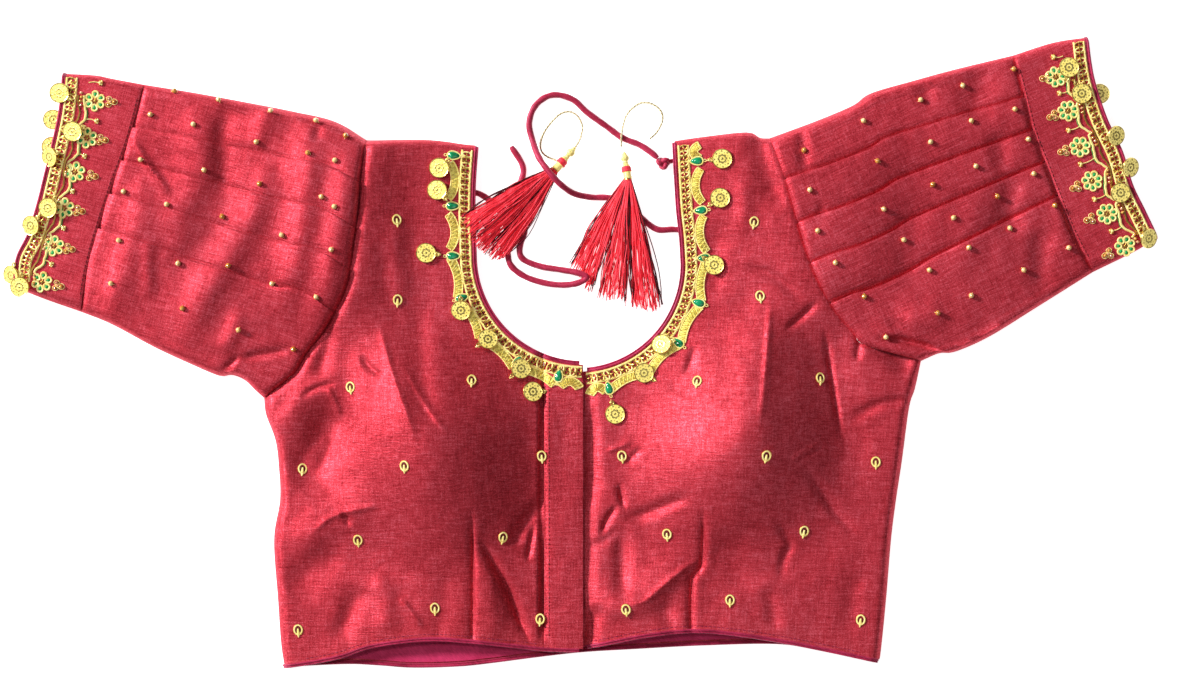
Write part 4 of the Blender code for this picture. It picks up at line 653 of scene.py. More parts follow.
def loft(rows, columns, wrap_rows=False, wrap_columns=False):
    """Quads of a grid of rows x columns points."""
    i = np.arange(rows if wrap_rows else rows - 1)[:, None]
    j = np.arange(columns if wrap_columns else columns - 1)[None, :]
    i_next, j_next = (i + 1) % rows, (j + 1) % columns
    corners = (i * columns + j, i * columns + j_next, i_next * columns + j_next, i_next * columns + j)
    return np.stack([np.broadcast_to(a, (i.size, j.size)) for a in corners], axis=-1).reshape(-1, 4)


def tube(rows, columns):
    """A wall of rings, and a face over each end."""
    ring = np.arange(columns)[None]
    return [loft(rows, columns, False, True), ring[:, ::-1], (rows - 1) * columns + ring]


def turned_over(blocks):
    return [block[:, ::-1] for block in blocks]


def frames(path, closed=False):
    """For each point of a path, the unit vectors across it: one level with the surface, one over it."""
    if closed:
        ahead = unit(np.roll(path, -1, axis=0) - np.roll(path, 1, axis=0))
    else:
        ahead = unit(np.gradient(path, axis=0))
    across = np.cross(ahead, UP)
    weak = np.linalg.norm(across, axis=1) < 1e-3
    across[weak] = np.cross(ahead[weak], (1.0, 0.0, 0.0))
    across = unit(across)
    return across, np.cross(across, ahead)


def swept(shape, path, profile, material, closed=False, scale=(1.0, 1.0)):
    """A closed profile (across, up) carried along a path, its ends capped. scale is its size on the way."""
    path = np.asarray(path, float)
    across, over = frames(path, closed)
    sizes = np.interp(np.linspace(0, 1, len(path)), np.linspace(0, 1, len(scale)), scale)
    rings = path[:, None] + sizes[:, None, None] * (
        profile[None, :, :1] * across[:, None] + profile[None, :, 1:] * over[:, None])
    size = len(path), len(profile)
    shape.add(rings, [loft(*size, True, True)] if closed else tube(*size), material)


def circle(sides, radius=1.0, squash=1.0):
    angles = turns(sides)
    return np.stack((radius * np.cos(angles), radius * squash * np.sin(angles)), axis=1)


def cord(shape, path, radius, material, sides=6, closed=False, scale=(1.0, 1.0)):
    swept(shape, path, circle(sides, radius), material, closed, scale)


def basis(normal, ahead):
    """Unit vectors (ahead, left, normal) at a place on cloth."""
    normal, ahead = unit(np.asarray(normal, float)), np.asarray(ahead, float)
    ahead = unit(ahead - normal * ahead.dot(normal))
    return ahead, np.cross(normal, ahead), normal


def put(local, place, axes):
    """Points (ahead, left, up) round a place, or one such point."""
    return np.asarray(place) + np.asarray(local, float) @ np.array(axes)


def bead(shape, place, radius, material, axes, squash=1.0, sides=10):
    """A bead with a slight waist of facets, its middle at `place`."""
    bands = np.linspace(0.12, math.pi - 0.12, sides // 2 + 1)
    flat = np.sin(bands)[:, None, None] * circle(sides, radius)
    up = np.broadcast_to(radius * squash * np.cos(bands)[:, None, None], (*flat.shape[:2], 1))
    wall, *ends = tube(len(bands), sides)
    points = put(np.concatenate((flat, up), axis=2), place, axes)
    shape.add(points, [wall, *turned_over(ends)], material)


def ground(trees, points):
    """Heights of the highest surface under or over flat points."""
    heights = np.full(len(points), np.nan)
    for i, start in enumerate((raised(points, 300.0) + SHIFT) * MM):
        for tree in trees:
            hit = tree.ray_cast(Vector(start), Vector((0, 0, -1)))[0]
            if hit is not None and not hit.z / MM <= heights[i]:      # nan is never more or less
                heights[i] = hit.z / MM
    return heights


def tree_of(piece):
    mesh = piece.data
    return BVHTree.FromPolygons([v.co for v in mesh.vertices], [tuple(f.vertices) for f in mesh.polygons])


def slope_at(trees, place, reach):
    """The cloth's height and normal at a flat place."""
    z = ground(trees, place + reach * np.array(((0, 0), (1, 0), (-1, 0), (0, 1), (0, -1))))
    z = np.where(np.isnan(z), np.nanmean(z), z)
    return z[0], unit(np.array(((z[2] - z[1]) / (2 * reach), (z[4] - z[3]) / (2 * reach), 1.0)))
# Materials


def stretched(tree, angle, scale, detail=2.0, roughness=0.5):
    """Noise in the piece's own place, turned by `angle` degrees and stretched."""
    where = node(tree, "ShaderNodeTexCoord", {})["Object"]
    turned = node(tree, "ShaderNodeMapping", {"Vector": where, "Rotation": (0, 0, math.radians(-angle))})
    scaled = node(tree, "ShaderNodeMapping", {"Vector": turned[0], "Scale": scale})
    return node(tree, "ShaderNodeTexNoise", {"Vector": scaled[0], "Scale": 1.0, "Detail": detail,
                                             "Roughness": roughness})["Fac"]


def sums(tree, *terms):
    """The weighted sum of sockets: (socket, weight) each."""
    total = None
    for socket, weight in terms:
        part = node(tree, "ShaderNodeMath", {0: socket, 1: weight}, operation="MULTIPLY")[0]
        total = node(tree, "ShaderNodeMath", {0: total, 1: part}, operation="ADD")[0] if total else part
    return total


def ramp(tree, factor, *stops):
    """A colour for each place: stops are (position, (r, g, b))."""
    colour = node(tree, "ShaderNodeValToRGB", {"Fac": factor})["Color"]
    elements = colour.node.color_ramp.elements
    while len(elements) < len(stops):
        elements.new(0.5)
    for element, (place, shade) in zip(elements, stops):
        element.position = place
        element.color = (*shade, 1)
    return colour


def roughness_from(tree, value, low, high, rough, smoother):
    """Roughness that runs from one value to another as `value` runs from low to high."""
    return node(tree, "ShaderNodeMapRange", {"Value": value, "From Min": low, "From Max": high,
                                             "To Min": rough, "To Max": smoother})[0]


def surface(name, *noises):
    """A new material: its tree, and a socket for each noise (angle, scale, detail, roughness)."""
    made = bpy.data.materials.new(name)
    made.use_nodes = True
    return made.node_tree, [stretched(made.node_tree, *row) for row in noises]


def dress(tree, colour, relief, strength, distance=0.0002, **looks):
    """Sets the shader's colour, its bump and its other inputs."""
    inputs = {key.replace("_", " "): value for key, value in looks.items()}
    inputs["Base Color"] = colour
    if relief:
        bump = {"Height": relief, "Strength": strength, "Distance": distance}
        inputs["Normal"] = node(tree, "ShaderNodeBump", bump)[0]
    set_inputs(tree, tree.nodes["Principled BSDF"], inputs)


def silk(name, angle, dark, mid, light, seed):
    """Handloom silk: slubs along the weft, finer warp, and mottled fibres between them."""
    tree, (weft, slub, warp, fibre, broad) = surface(
        name, (angle, (110 + seed, 1150, 400), 3.0, 0.6), (angle + 1.5, (26, 800 + 9 * seed, 200), 2.0, 0.55),
        (angle, (950, 90 - seed, 400), 3.0, 0.6), (angle, (1500, 1400, 900), 2.0, 0.6), (angle, (9, 13, 9)))
    weave = sums(tree, (weft, 0.24), (slub, 0.11), (warp, 0.2), (fibre, 0.38), (broad, 0.1))
    dress(tree, ramp(tree, weave, (0.38, dark), (0.52, mid), (0.68, light)),
          sums(tree, (weft, 0.8), (slub, 0.5), (warp, 0.45), (fibre, 0.5)), 0.9, 0.0003,
          Roughness=roughness_from(tree, weave, 0.4, 0.7, 0.52, 0.4), Metallic=0.4, Specular_IOR_Level=0.2,
          Specular_Tint=(1.0, 0.3, 0.4, 1), Sheen_Weight=0.05, Sheen_Roughness=0.4,
          Sheen_Tint=(1.0, 0.35, 0.45, 1), Anisotropic=0.3)


def binding(name, dark, light, roughness=0.5):
    """Bias-cut satin, its threads on the slant."""
    tree, (fine, patch) = surface(name, (45, (1700, 260, 900)), (20, (60, 60, 60), 3.0))
    dress(tree, ramp(tree, sums(tree, (fine, 0.55), (patch, 0.45)), (0.36, dark), (0.64, light)), fine, 0.6,
          Roughness=roughness, Specular_IOR_Level=0.45, Specular_Tint=(1.0, 0.5, 0.7, 1),
          Sheen_Weight=0.15, Sheen_Tint=(1.0, 0.5, 0.7, 1))


def gold(name, dark, light, rough=0.32, metallic=0.9, painted_glow=0.0, grain=1500, strength=0.5):
    """Gilt: darker in its grain and brighter where it is rubbed. Its glow is painted light, an emission that
    brightens it.
    """
    tree, (fine, patch) = surface(name, (35, (grain, grain * 0.6, grain)), (0, (170, 170, 170), 3.0))
    dress(tree, ramp(tree, sums(tree, (fine, 0.45), (patch, 0.55)), (0.38, dark), (0.6, light)), fine,
          strength, Roughness=roughness_from(tree, patch, 0.35, 0.65, rough - 0.08, rough + 0.12),
          Metallic=metallic, Emission_Color=(1.0, 0.82, 0.3, 1), Emission_Strength=painted_glow)


def glass(name, colour, light, roughness=0.1):
    """A backed glass stone or bead: deep colour under a clear, polished face."""
    tree, (cloud,) = surface(name, (10, (380, 380, 380)))
    dress(tree, ramp(tree, cloud, (0.35, colour), (0.7, light)), cloud, 0.1, 0.0001, Roughness=roughness,
          Specular_IOR_Level=0.8, Coat_Weight=0.8, Coat_Roughness=0.05)


def yarn(name, dark, light, painted_glow=0.0):
    """Rayon yarn: fine filaments with a soft shine. Its glow is painted light, a red emission that brightens
    it.
    """
    tree, (fine, patch) = surface(name, (90, (120, 1500, 1500)), (90, (70, 260, 260)))
    dress(tree, ramp(tree, sums(tree, (fine, 0.4), (patch, 0.6)), (0.36, dark), (0.64, light)), fine, 0.5,
          Roughness=0.55, Specular_IOR_Level=0.4, Specular_Tint=(1.0, 0.55, 0.6, 1),
          Sheen_Weight=0.2, Sheen_Tint=(1.0, 0.5, 0.55, 1), Emission_Color=(1.0, 0.03, 0.05, 1),
          Emission_Strength=painted_glow)


RED = ((0.24, 0.009, 0.014), (0.58, 0.042, 0.062), (0.93, 0.17, 0.235))
for label, turn, seed in (("silk_right", 0, 0), ("silk_left", -2, 3), ("silk_placket", 1, 5),
                          ("silk_sleeve_right", -17, 2), ("silk_sleeve_left", 24, 4), ("silk_back", 3, 6)):
    silk(label, turn, *RED, seed)
binding("binding", (0.24, 0.006, 0.03), (0.56, 0.03, 0.1))
binding("facing", (0.5, 0.014, 0.075), (0.78, 0.045, 0.16))
binding("tie", (0.3, 0.008, 0.03), (0.54, 0.032, 0.085), 0.42)
# Where a gold below is given a glow, that glow is painted light that brightens it
gold("zari", (0.78, 0.54, 0.08), (1.0, 0.86, 0.26), 0.4, 0.1, 0.12)
gold("zari_pale", (0.88, 0.68, 0.17), (1.0, 0.92, 0.4), 0.42, 0.1, 0.14)
gold("zari_cream", (0.66, 0.56, 0.32), (0.95, 0.88, 0.62), 0.4, 0.12)
# A dark gold for one strand of the tassel loops' cord: painted shade
gold("zari_shade", (0.3, 0.22, 0.08), (0.56, 0.44, 0.2), 0.4, 0.2)
gold("zari_green", (0.62, 0.52, 0.04), (0.96, 0.88, 0.2), 0.46, 0.1, 0.08)
gold("coin", (0.92, 0.78, 0.12), (1.0, 0.94, 0.32), 0.36, 0.06, 0.46, 900, 0.2)
# A darker gold for the coins' low field: painted shade in their recesses, with painted glow
gold("coin_recess_shade", (0.74, 0.56, 0.06), (0.92, 0.76, 0.18), 0.42, 0.06, 0.36, 900, 0.2)
glass("stone", (0.0, 0.2, 0.06), (0.01, 0.42, 0.17))
glass("amber", (0.5, 0.17, 0.01), (0.82, 0.42, 0.08), 0.15)
glass("rose_bead", (0.6, 0.22, 0.1), (0.9, 0.5, 0.3), 0.15)
glass("gilt_bead", (0.92, 0.54, 0.16), (1.0, 0.78, 0.4), 0.2)
yarn("binding_thread", (0.16, 0.006, 0.03), (0.38, 0.02, 0.08))
yarn("dark_thread", (0.05, 0.003, 0.006), (0.14, 0.008, 0.014))
yarn("petal", (0.0, 0.26, 0.05), (0.03, 0.5, 0.13))
# The deeper red and the near black strands are partly painted shade under and between strands, partly random
# tone; the tassel reds' glow is painted light
yarn("tassel", (0.68, 0.012, 0.028), (1.0, 0.1, 0.14), 0.2)
yarn("tassel_deep_and_shade", (0.3, 0.004, 0.012), (0.6, 0.02, 0.04), 0.06)
yarn("tassel_dark_and_shade", (0.02, 0.001, 0.002), (0.07, 0.003, 0.006))


# Camera, floor and lights

LOOK = (np.array((11.9, 224.7, 10.0)) + SHIFT) * MM
CAMERA_UP, FRAME_WIDTH, FLOOR_HALF = 3.0, 0.840, 4.0
camera = placed("camera", bpy.data.cameras.new("camera"))
camera.location = (LOOK[0], LOOK[1], LOOK[2] + CAMERA_UP)
camera.data.lens = camera.data.sensor_width * CAMERA_UP / FRAME_WIDTH
bpy.context.scene.camera = camera


def floor():
    mesh = bpy.data.meshes.new("floor")
    corners = [(x * FLOOR_HALF, y * FLOOR_HALF, 0) for x, y in ((-1, -1), (1, -1), (1, 1), (-1, 1))]
    mesh.from_pydata(corners, [], [(0, 1, 2, 3)])
    tree, (cloud,) = surface("floor", (0, (3, 3, 3)))
    dress(tree, ramp(tree, cloud, (0.3, (0.93, 0.93, 0.93)), (0.7, (0.96, 0.96, 0.96))), None, 0, 0,
          Roughness=0.9, Specular_IOR_Level=0.1, Emission_Color=(1, 1, 1, 1), Emission_Strength=0.86)
    mesh.materials.append(bpy.data.materials["floor"])
    placed("floor", mesh)


def area_light(name, place, size, power):
    lamp = bpy.data.lights.new(name, "AREA")
    lamp.size, lamp.energy = size, power
    piece = placed(name, lamp)
    piece.location = place
    piece.rotation_euler = (Vector(LOOK) - Vector(place)).to_track_quat("-Z", "Y").to_euler()


floor()
area_light("key", (-14.0, 6.8, 7.8), 2.8, 4500)
area_light("gloss", (-1.3, 0.5, 2.4), 0.4, 14)
area_light("fill", (0.9, -1.0, 2.4), 1.5, 5)
world = bpy.data.worlds.new("world")
bpy.context.scene.world = world
world.use_nodes = True
set_inputs(world.node_tree, world.node_tree.nodes["Background"], {"Color": (1, 1, 1, 1), "Strength": 0.13})
bpy.context.scene.view_settings.view_transform = "Standard"
# Cloth

EDGE = PIPING - TUCKED_IN        # the cloth ends this far inside the outer edge of its piping


def thinned(spots, grid):
    """The spots at least 0.9 mm apart, and the grid's points that are clear of them."""
    spots = spots[np.sort(np.unique(np.round(spots / 0.9).astype(int), axis=0, return_index=True)[1])]
    cells = {tuple(cell) for cell in np.round(spots / 1.1).astype(int).tolist()}
    free = [tuple(cell) not in cells for cell in np.round(grid / 1.1).astype(int).tolist()]
    return np.vstack((grid[free], spots))


def panel(name, material, outline, height, spacing, wall, spots=None):
    """A cloth wall over a flat outline. height(points) is its outer face."""
    low, high = outline.min(0), outline.max(0)
    xs = np.arange(low[0], high[0], spacing)
    grid = np.vstack([raised(xs + (row % 2) * spacing / 2, y)
                      for row, y in enumerate(np.arange(low[1], high[1], spacing * 0.866))])
    edge = Curve(np.vstack((outline, outline[:1])))
    grid = grid[inside(outline, grid)]
    grid = grid[edge.away(grid) > 0.55 * spacing]
    if spots is not None:
        grid = thinned(spots[inside(outline, spots) & (edge.away(spots) > 0.5)], grid)
    count = len(outline)
    flat, _, faces, _, _, _ = delaunay_2d_cdt(
        [Vector(p) for p in np.vstack((outline, grid))], [(i, (i + 1) % count) for i in range(count)],
        [list(range(count))], 1, 1e-4)
    flat, faces = np.array([tuple(p) for p in flat]), np.array([f for f in faces if len(f) == 3])
    top = raised(flat, height(flat))
    a, b, c = (top[faces[:, k]] for k in range(3))
    if np.cross(b - a, c - a)[:, 2].mean() < 0:
        faces = faces[:, ::-1]
        a, c = c, a
    normals = np.zeros_like(top)
    for k in range(3):
        np.add.at(normals, faces[:, k], np.cross(b - a, c - a))
    under = top - unit(normals) * wall
    under[:, 2] = np.maximum(under[:, 2], np.minimum(top[:, 2] - 0.2, 0.3))
    size = len(flat)
    edges = np.vstack([faces[:, (k, (k + 1) % 3)] for k in range(3)])
    first, second = edges[~np.isin(edges @ (size, 1), edges @ (1, size))].T
    shape = Shape()
    sides = np.column_stack((second, first, first + size, second + size))
    shape.add(np.vstack((top, under)), [faces, faces[:, ::-1] + size, sides], material)
    return shape.make(name, 60)


def straight(x, low, high, step=STEP):
    count = round(abs(high - low) / step)
    return np.column_stack((np.full(count + 1, float(x)), np.linspace(low, high, count + 1)))


def hem_curve(side, lift):
    """A front's hem, `lift` up from its edge. Its first point lies past the side seam."""
    line = spline([row[:2] for row in FRONT_HEM[side]])
    return moved_left(np.vstack((line[0] + HEM_PAST * unit(line[0] - line[1]), line)), lift * SIGN[side])


def front(side):
    middle = -PLACKET_WIDTH - GAP if side == "right" else -UNDERLAP
    outline = outline_of(
        moved_left(NECK[side].points, EDGE * SIGN[side]), SHOULDERS[side].points, ARMHOLES[side].points,
        SIDE_SEAMS[side].points, hem_curve(side, EDGE), straight(middle, 0, MIDDLE_TOP))[::SIGN[side]]
    ways = [(1.1, 1.1, *DARTS[side])]
    ways += [(row[0], row[1], *row[3:]) for row in CREASES["front_" + side] if min(row[:2]) < 2.5]
    if side == "right":
        ways.append((2.0, 2.0, *((-PLACKET_WIDTH - 2.6, y) for y in (22, 110, 200))))
    spots = np.vstack([moved_left(spline(way, 1.9), off * width) for left, right, *way in ways
                       for off, width in ((-1.2, right), (-0.5, right), (0, 1), (0.5, left), (1.2, left))])
    return panel(f"silk_front_{side}", f"silk_{side}", outline, lambda p: front_height(side, p), FRONT_STEP,
                 WALL, spots)


def placket():
    outline = outline_of(moved_left(NECK["right"].points, EDGE), straight(-PLACKET_WIDTH, MIDDLE_TOP, 0),
                         hem_curve("right", EDGE), straight(0, 0, MIDDLE_TOP))

    def height(p):
        from_seam = p[:, 0] + PLACKET_WIDTH
        roll = PLACKET_ROLL * over_hem(p[:, 1]) * bell(from_seam, 0.9)
        proud = PLACKET_PROUD * quarter_round(np.minimum(from_seam, -p[:, 0]) + 0.4, 1.6)
        return front_height("right", p) + proud - 0.35 * bell(from_seam - 2.8, 1.6) - roll

    return panel("silk_placket", "silk_placket", outline, height, PLACKET_STEP, PLACKET_WALL)


def back():
    arc = arc_points(BACK_NECK_ARC, math.radians(-5), math.radians(-175))
    right, left = (spline(BACK_NECK_UPPER[side]) for side in SIDES)
    shoulders, seams_in = ([moved_left(curves[side].points, BACK_INSET * SIGN[side]) for side in SIDES]
                           for curves in (SHOULDERS, SIDE_SEAMS))
    outline = outline_of(
        np.vstack((left[::-1][:-1], arc, right[1:])), shoulders[0], ARMHOLES["right"].points, seams_in[0],
        moved_left(spline(BACK_HEM), EDGE), seams_in[1][::-1], ARMHOLES["left"].points[::-1],
        shoulders[1][::-1])
    return panel("silk_back", "silk_back", outline, lambda p: WALL + 0.15 * ripples(p, 5.0, 30), BACK_STEP,
                 WALL)


def between(first, last, share):
    return (1 - share[..., None]) * first + share[..., None] * last


class Patch:
    """A flat shape between four curves. u runs outward along the arm, v from the upper edge down."""

    def __init__(self, *sides):
        self.upper, self.lower, self.near, self.far = (Curve(spline(points)) for points in sides)
        self.length = (self.upper.length + self.lower.length) / 2

    def at(self, u, v):
        u, v = np.broadcast_arrays(np.asarray(u, float), np.asarray(v, float))
        along = between(self.upper.part(u), self.lower.part(u), v)
        across = between(self.near.part(v), self.far.part(v), u)
        corners = (between(curve.points[0], curve.points[-1], v) for curve in (self.near, self.far))
        return along + across - between(*corners, u)

    def width(self, u):
        return float(np.linalg.norm(self.at(u, 0) - self.at(u, 1)))


def patches(*tables):
    return {side: Patch(*(table[side] for table in tables)) for side in SIDES}


SLEEVE_PATCH = patches(SLEEVE_UPPER, SLEEVE_LOWER, ARMHOLE, CUFF_SEAM)
CUFF_PATCH = patches(CUFF_UPPER, CUFF_LOWER, CUFF_SEAM, CUFF_EDGE)


def sleeve_top(u, v):
    end = BODY_TOP + 0.6 + (CUFF_TOP - BODY_TOP - 0.6) * smooth(u)
    return end + (SLEEVE_TOP + SLEEVE_ARCH * math.sin(math.pi * v) - end) * math.sin(math.pi * u)


def section(width, top, tucks=(), lap=0.0, sink=0.0, puff=0.0):
    """Outer and inner points of a flattened tube: (distance from its upper edge, height, crease share)."""
    outer, inner = [], []

    def rounded(angles, place):
        for angle in np.radians(angles):
            across, up = 1 - math.cos(angle), math.sin(angle)
            outer.append((place(SLEEVE_ROUND * across), SLEEVE_FOOT + (top(0.5) - SLEEVE_FOOT) * up, up * up))
            inner.append((place(WALL + (SLEEVE_ROUND - WALL) * across),
                          SLEEVE_FOOT + (top(0.5) - WALL - SLEEVE_FOOT) * up, up * up))

    def strip(first, last, rise, count, dip):
        """Plain cloth that falls from a tuck's edge, a little puffed, to the next one."""
        shares = [i / (count + 1) for i in range(1, count + 1)]
        shares += [1 - off / (last - first) for off in (2.0, 1.2, 0.6)] if dip else []
        for share in sorted(shares):
            distance = first + (last - first) * share
            height = top(distance / width) - (sink * bell(last - distance, 2.4) if dip else 0)
            bulge = rise * (1 - share) + puff * math.sin(math.pi * share) * (rise > 0)
            outer.append((distance, height + bulge, 1.0))
            inner.append((distance, height - WALL, 1.0))

    rounded(range(0, 73, 12), lambda d: d)
    last, rise, count = SLEEVE_ROUND, 0.0, 12
    for place in tucks:
        edge, height = place * width, top(place)
        strip(last, edge, rise, count, True)
        foot = height - sink
        outer += [(edge + off, z, 1) for off, z in (
            (lap, foot), (lap, foot + TUCK_SLIT), (0.1, foot + TUCK_SLIT), (-0.3, height + TUCK_SLIT),
            (-0.2, height + TUCK_STEP - 0.35), (0.6, height + TUCK_STEP))]
        inner += [(edge + off, foot - WALL, 1) for off in (-0.4, -0.2, 0.1, 0.4, 0.9, 1.5)]
        last, rise = edge + 0.6, TUCK_STEP
    strip(last, width - SLEEVE_ROUND, rise, 24 if tucks else 60, False)
    rounded(range(72, -1, -12), lambda d: width - d)
    under = np.linspace(width - SLEEVE_FOOT, SLEEVE_FOOT, 16)
    return tuple(np.vstack((face, raised(raised(under, z), 0))) for face, z in ((outer, 0.0), (inner, WALL)))


def tube_wall(kind, side, patch, shares, ring, relief):
    """A wall between two lofted faces, open at both ends."""
    rings = []
    for u in shares:
        for points in ring(u):
            flat = patch.at(u, points[:, 0] / patch.width(u))
            rings.append(np.hstack((flat, points[:, 1:])))
    outer, inner = np.array(rings[::2]), np.array(rings[1::2])
    rise = relief(outer[..., :2].reshape(-1, 2)).reshape(outer.shape[:2])
    rise *= smooth((1 - np.array(shares)) / 0.03)[:, None]
    outer[..., 2] += rise * outer[..., 3]
    inner[..., 2] += rise * inner[..., 3]
    shape = Shape()
    walls = np.concatenate((outer, inner[::-1]))[..., :3]
    shape.add(walls, [loft(*walls.shape[:2], True, True)], f"silk_sleeve_{side}")
    return shape.make(f"silk_{kind}_{side}", 55)


def sleeve(side):
    patch = SLEEVE_PATCH[side]
    seed = 11.0 if side == "right" else 14.0
    depth, valley = SEAM_VALLEY[side]["sleeve"]

    def ring(u):
        lap = 0.3 + TUCK_LAP * smooth(min(u, 1 - u) / 0.03)
        places = [near + (far - near) * u for near, far in TUCKS]
        dip = SEAM_DIP * bell((1 - u) * patch.length, SEAM_DIP_WIDTH)
        return section(patch.width(u), lambda v: sleeve_top(u, v) - dip, places, lap, TUCK_DIP[side],
                       TUCK_PUFF[side])

    def relief(points):
        away = patch.near.away(points)
        rough = 0.42 * ripples(points, seed + 9, 13) + 0.2 * ripples(points, seed, 6)
        return creases("sleeve", side, points) + smooth(away / 12) * rough - depth * bell(away, valley)

    last = 1 - np.array((3.0, 2.2, 1.5, 0.9, 0.4, 0.0)) / patch.length
    shares = np.concatenate((np.linspace(0, 1 - 4.0 / patch.length, SLEEVE_RINGS), last))
    return tube_wall("sleeve", side, patch, shares, ring, relief)


def cuff_ring(side, u):
    patch = CUFF_PATCH[side]
    height = CUFF_TOP - 0.45 * bell(u * patch.length, 0.9)
    return section(patch.width(u), lambda v: height)


def cuff(side):
    patch = CUFF_PATCH[side]
    first = np.array((0.0, 0.4, 0.9, 1.6)) / patch.length
    shares = np.concatenate((first, np.linspace(2.6 / patch.length, 1 - EDGE / patch.length, CUFF_RINGS)))
    return tube_wall("cuff", side, patch, shares, lambda u: cuff_ring(side, u),
                     lambda points: 0.35 * ripples(points, 17.0, 16))


# The rolled binding: a main roll with a narrow lip on its inner side (across, up)
ROLL = ((-1.45, -0.9), (-1.6, 0.0), (-1.35, 0.85), (-0.95, 1.0), (-0.62, 0.72), (-0.45, 0.62), (-0.2, 0.9),
        (0.25, 1.32), (0.75, 1.4), (1.2, 1.05), (1.5, 0.4), (1.45, -0.5), (1.0, -1.25), (0.2, -1.45),
        (-0.8, -1.4))


def rolled(kind, side, path, flip, closed=False):
    """A rolled edge along points of its middle. flip turns its lip to the other side."""
    shape = Shape()
    profile = np.array(ROLL)[:: 1 if flip else -1] * (-1 if flip else 1, 1)
    swept(shape, path, profile, "binding", closed)
    shape.make(f"binding_{kind}_{side}", 50, f"{kind}_piping_{side}")


def edge_middle(side, points):
    """The middle of the cloth's thickness at its edge."""
    over = (points[:, 0] > -PLACKET_WIDTH) & (side == "right")
    z = front_height(side, points, fine=False) + np.where(over, PLACKET_PROUD - PLACKET_WALL / 2, -WALL / 2)
    return raised(points, np.maximum(z, PIPING / 2))


def bindings():
    half = PIPING / 2
    for side, shoulder, neck_end, hem_end in (("right", 366.0, 0, 0), ("left", 369.5, -0.4, -2)):
        neck = moved_left(NECK[side].points, half * SIGN[side])
        neck = neck[(SIGN[side] * neck[:, 0] < neck_end) & (neck[:, 1] < shoulder)]
        hem = hem_curve(side, half)[1:]
        hem = hem[SIGN[side] * hem[:, 0] < hem_end]
        rolled("neck", side, edge_middle(side, neck), side == "right")
        rolled("hem", side, edge_middle(side, hem), side == "right")
        patch = CUFF_PATCH[side]
        u = 1 - half / patch.length
        distance, z, _ = sum(cuff_ring(side, u)).T / 2
        ring = raised(patch.at(u, distance / patch.width(u)), np.maximum(z, half))
        rolled("cuff", side, ring, side == "left", closed=True)
    hem = moved_left(spline(BACK_HEM), half)
    hem = hem[(hem[:, 0] > -201) & (hem[:, 0] < 198)]
    rolled("hem", "back", raised(hem, half), False)


def stitches(shape, path, material, length, pitch, radius):
    """A row of topstitches along points of the cloth's face."""
    line = Curve(path)
    for start in np.arange(1.0, line.length - length, pitch):
        places = start + np.array((0, 0.3, 0.7, 1)) * length
        z = np.interp(places, line.starts, path[:, 2]) + np.array((-0.15, 0.1, 0.1, -0.15))
        cord(shape, raised(line.at(places), z), radius, material, 5)


def facing():
    """The facing inside the back's hem, with the stitching near its inner edge."""
    line = Curve(spline(BACK_HEM))
    along = np.linspace(*(line.along((x, 4.0)) for x in FACING_ENDS), 150)
    low = WALL + GAP
    top = []
    for share in np.linspace(0.04, 1, 7):
        flat = line.beside(along, np.full(len(along), PIPING + GAP + share * FACING_WIDTH))
        puffed = 0.25 * math.sin(math.pi * share) + 0.12 * ripples(flat, 31.0, 8, (1, 0.4))
        top.append(raised(flat, low + FACING_WALL + puffed))
    under = [raised(row[:, :2], low) for row in top[::-1]]
    rings = np.array(top + under).transpose(1, 0, 2)
    shape = Shape()
    shape.add(rings, turned_over(tube(*rings.shape[:2])), "facing")
    stitches(shape, top[5], "binding_thread", 2.0, 3.1, 0.2)
    shape.make("facing_hem_back", stands_for="hem_facing_back")
# Embroidery


def lay(trees, flat, lift):
    """Flat points laid on the cloth, `lift` over it."""
    z = ground(trees, flat)
    holes = np.isnan(z)
    spots = np.arange(len(z))
    if holes.any():
        z[holes] = 1.0 if holes.all() else np.interp(spots[holes], spots[~holes], z[~holes])
    return raised(flat, z + lift)


def torus(shape, place, axes, long, wide, radius, material, count=14, sides=5, tilt=0.0, narrow=0.0):
    """An oval ring on cloth; `narrow` draws its first end in, `tilt` lifts that end."""
    ahead, across = circle(count).T
    local = np.column_stack((long * ahead, wide * across * (1 - narrow * ahead), tilt * ahead))
    cord(shape, put(local, place, axes), radius, material, sides, closed=True)


def seat(trees, flat, toward, lift=0.0):
    """(place, axes) on the cloth: ahead runs `toward`, a flat direction."""
    z, normal = slope_at(trees, flat, 1.5)
    return np.array((*flat, z)) + normal * lift, basis(normal, (*toward, 0.0))


def twisted(shape, path, radius, material, pitch, strands, shade_strand=False):
    """A laid cord: strands that wind round a path; when asked, one of them is dark gold, painted shade on the
    cord.
    """
    spans = distances(path)
    along = np.linspace(0, spans[-1], max(8, round(spans[-1] / (pitch / 7))))
    line = np.column_stack([np.interp(along, spans, path[:, k]) for k in range(3)])
    across, over = frames(line)
    for k in range(strands):
        turn = (along / pitch * TAU + k * TAU / strands)[:, None]
        cord(shape, line + 0.5 * radius * (np.cos(turn) * across + np.sin(turn) * over), 0.54 * radius,
             "zari_shade" if shade_strand and k == 0 else material, 5)


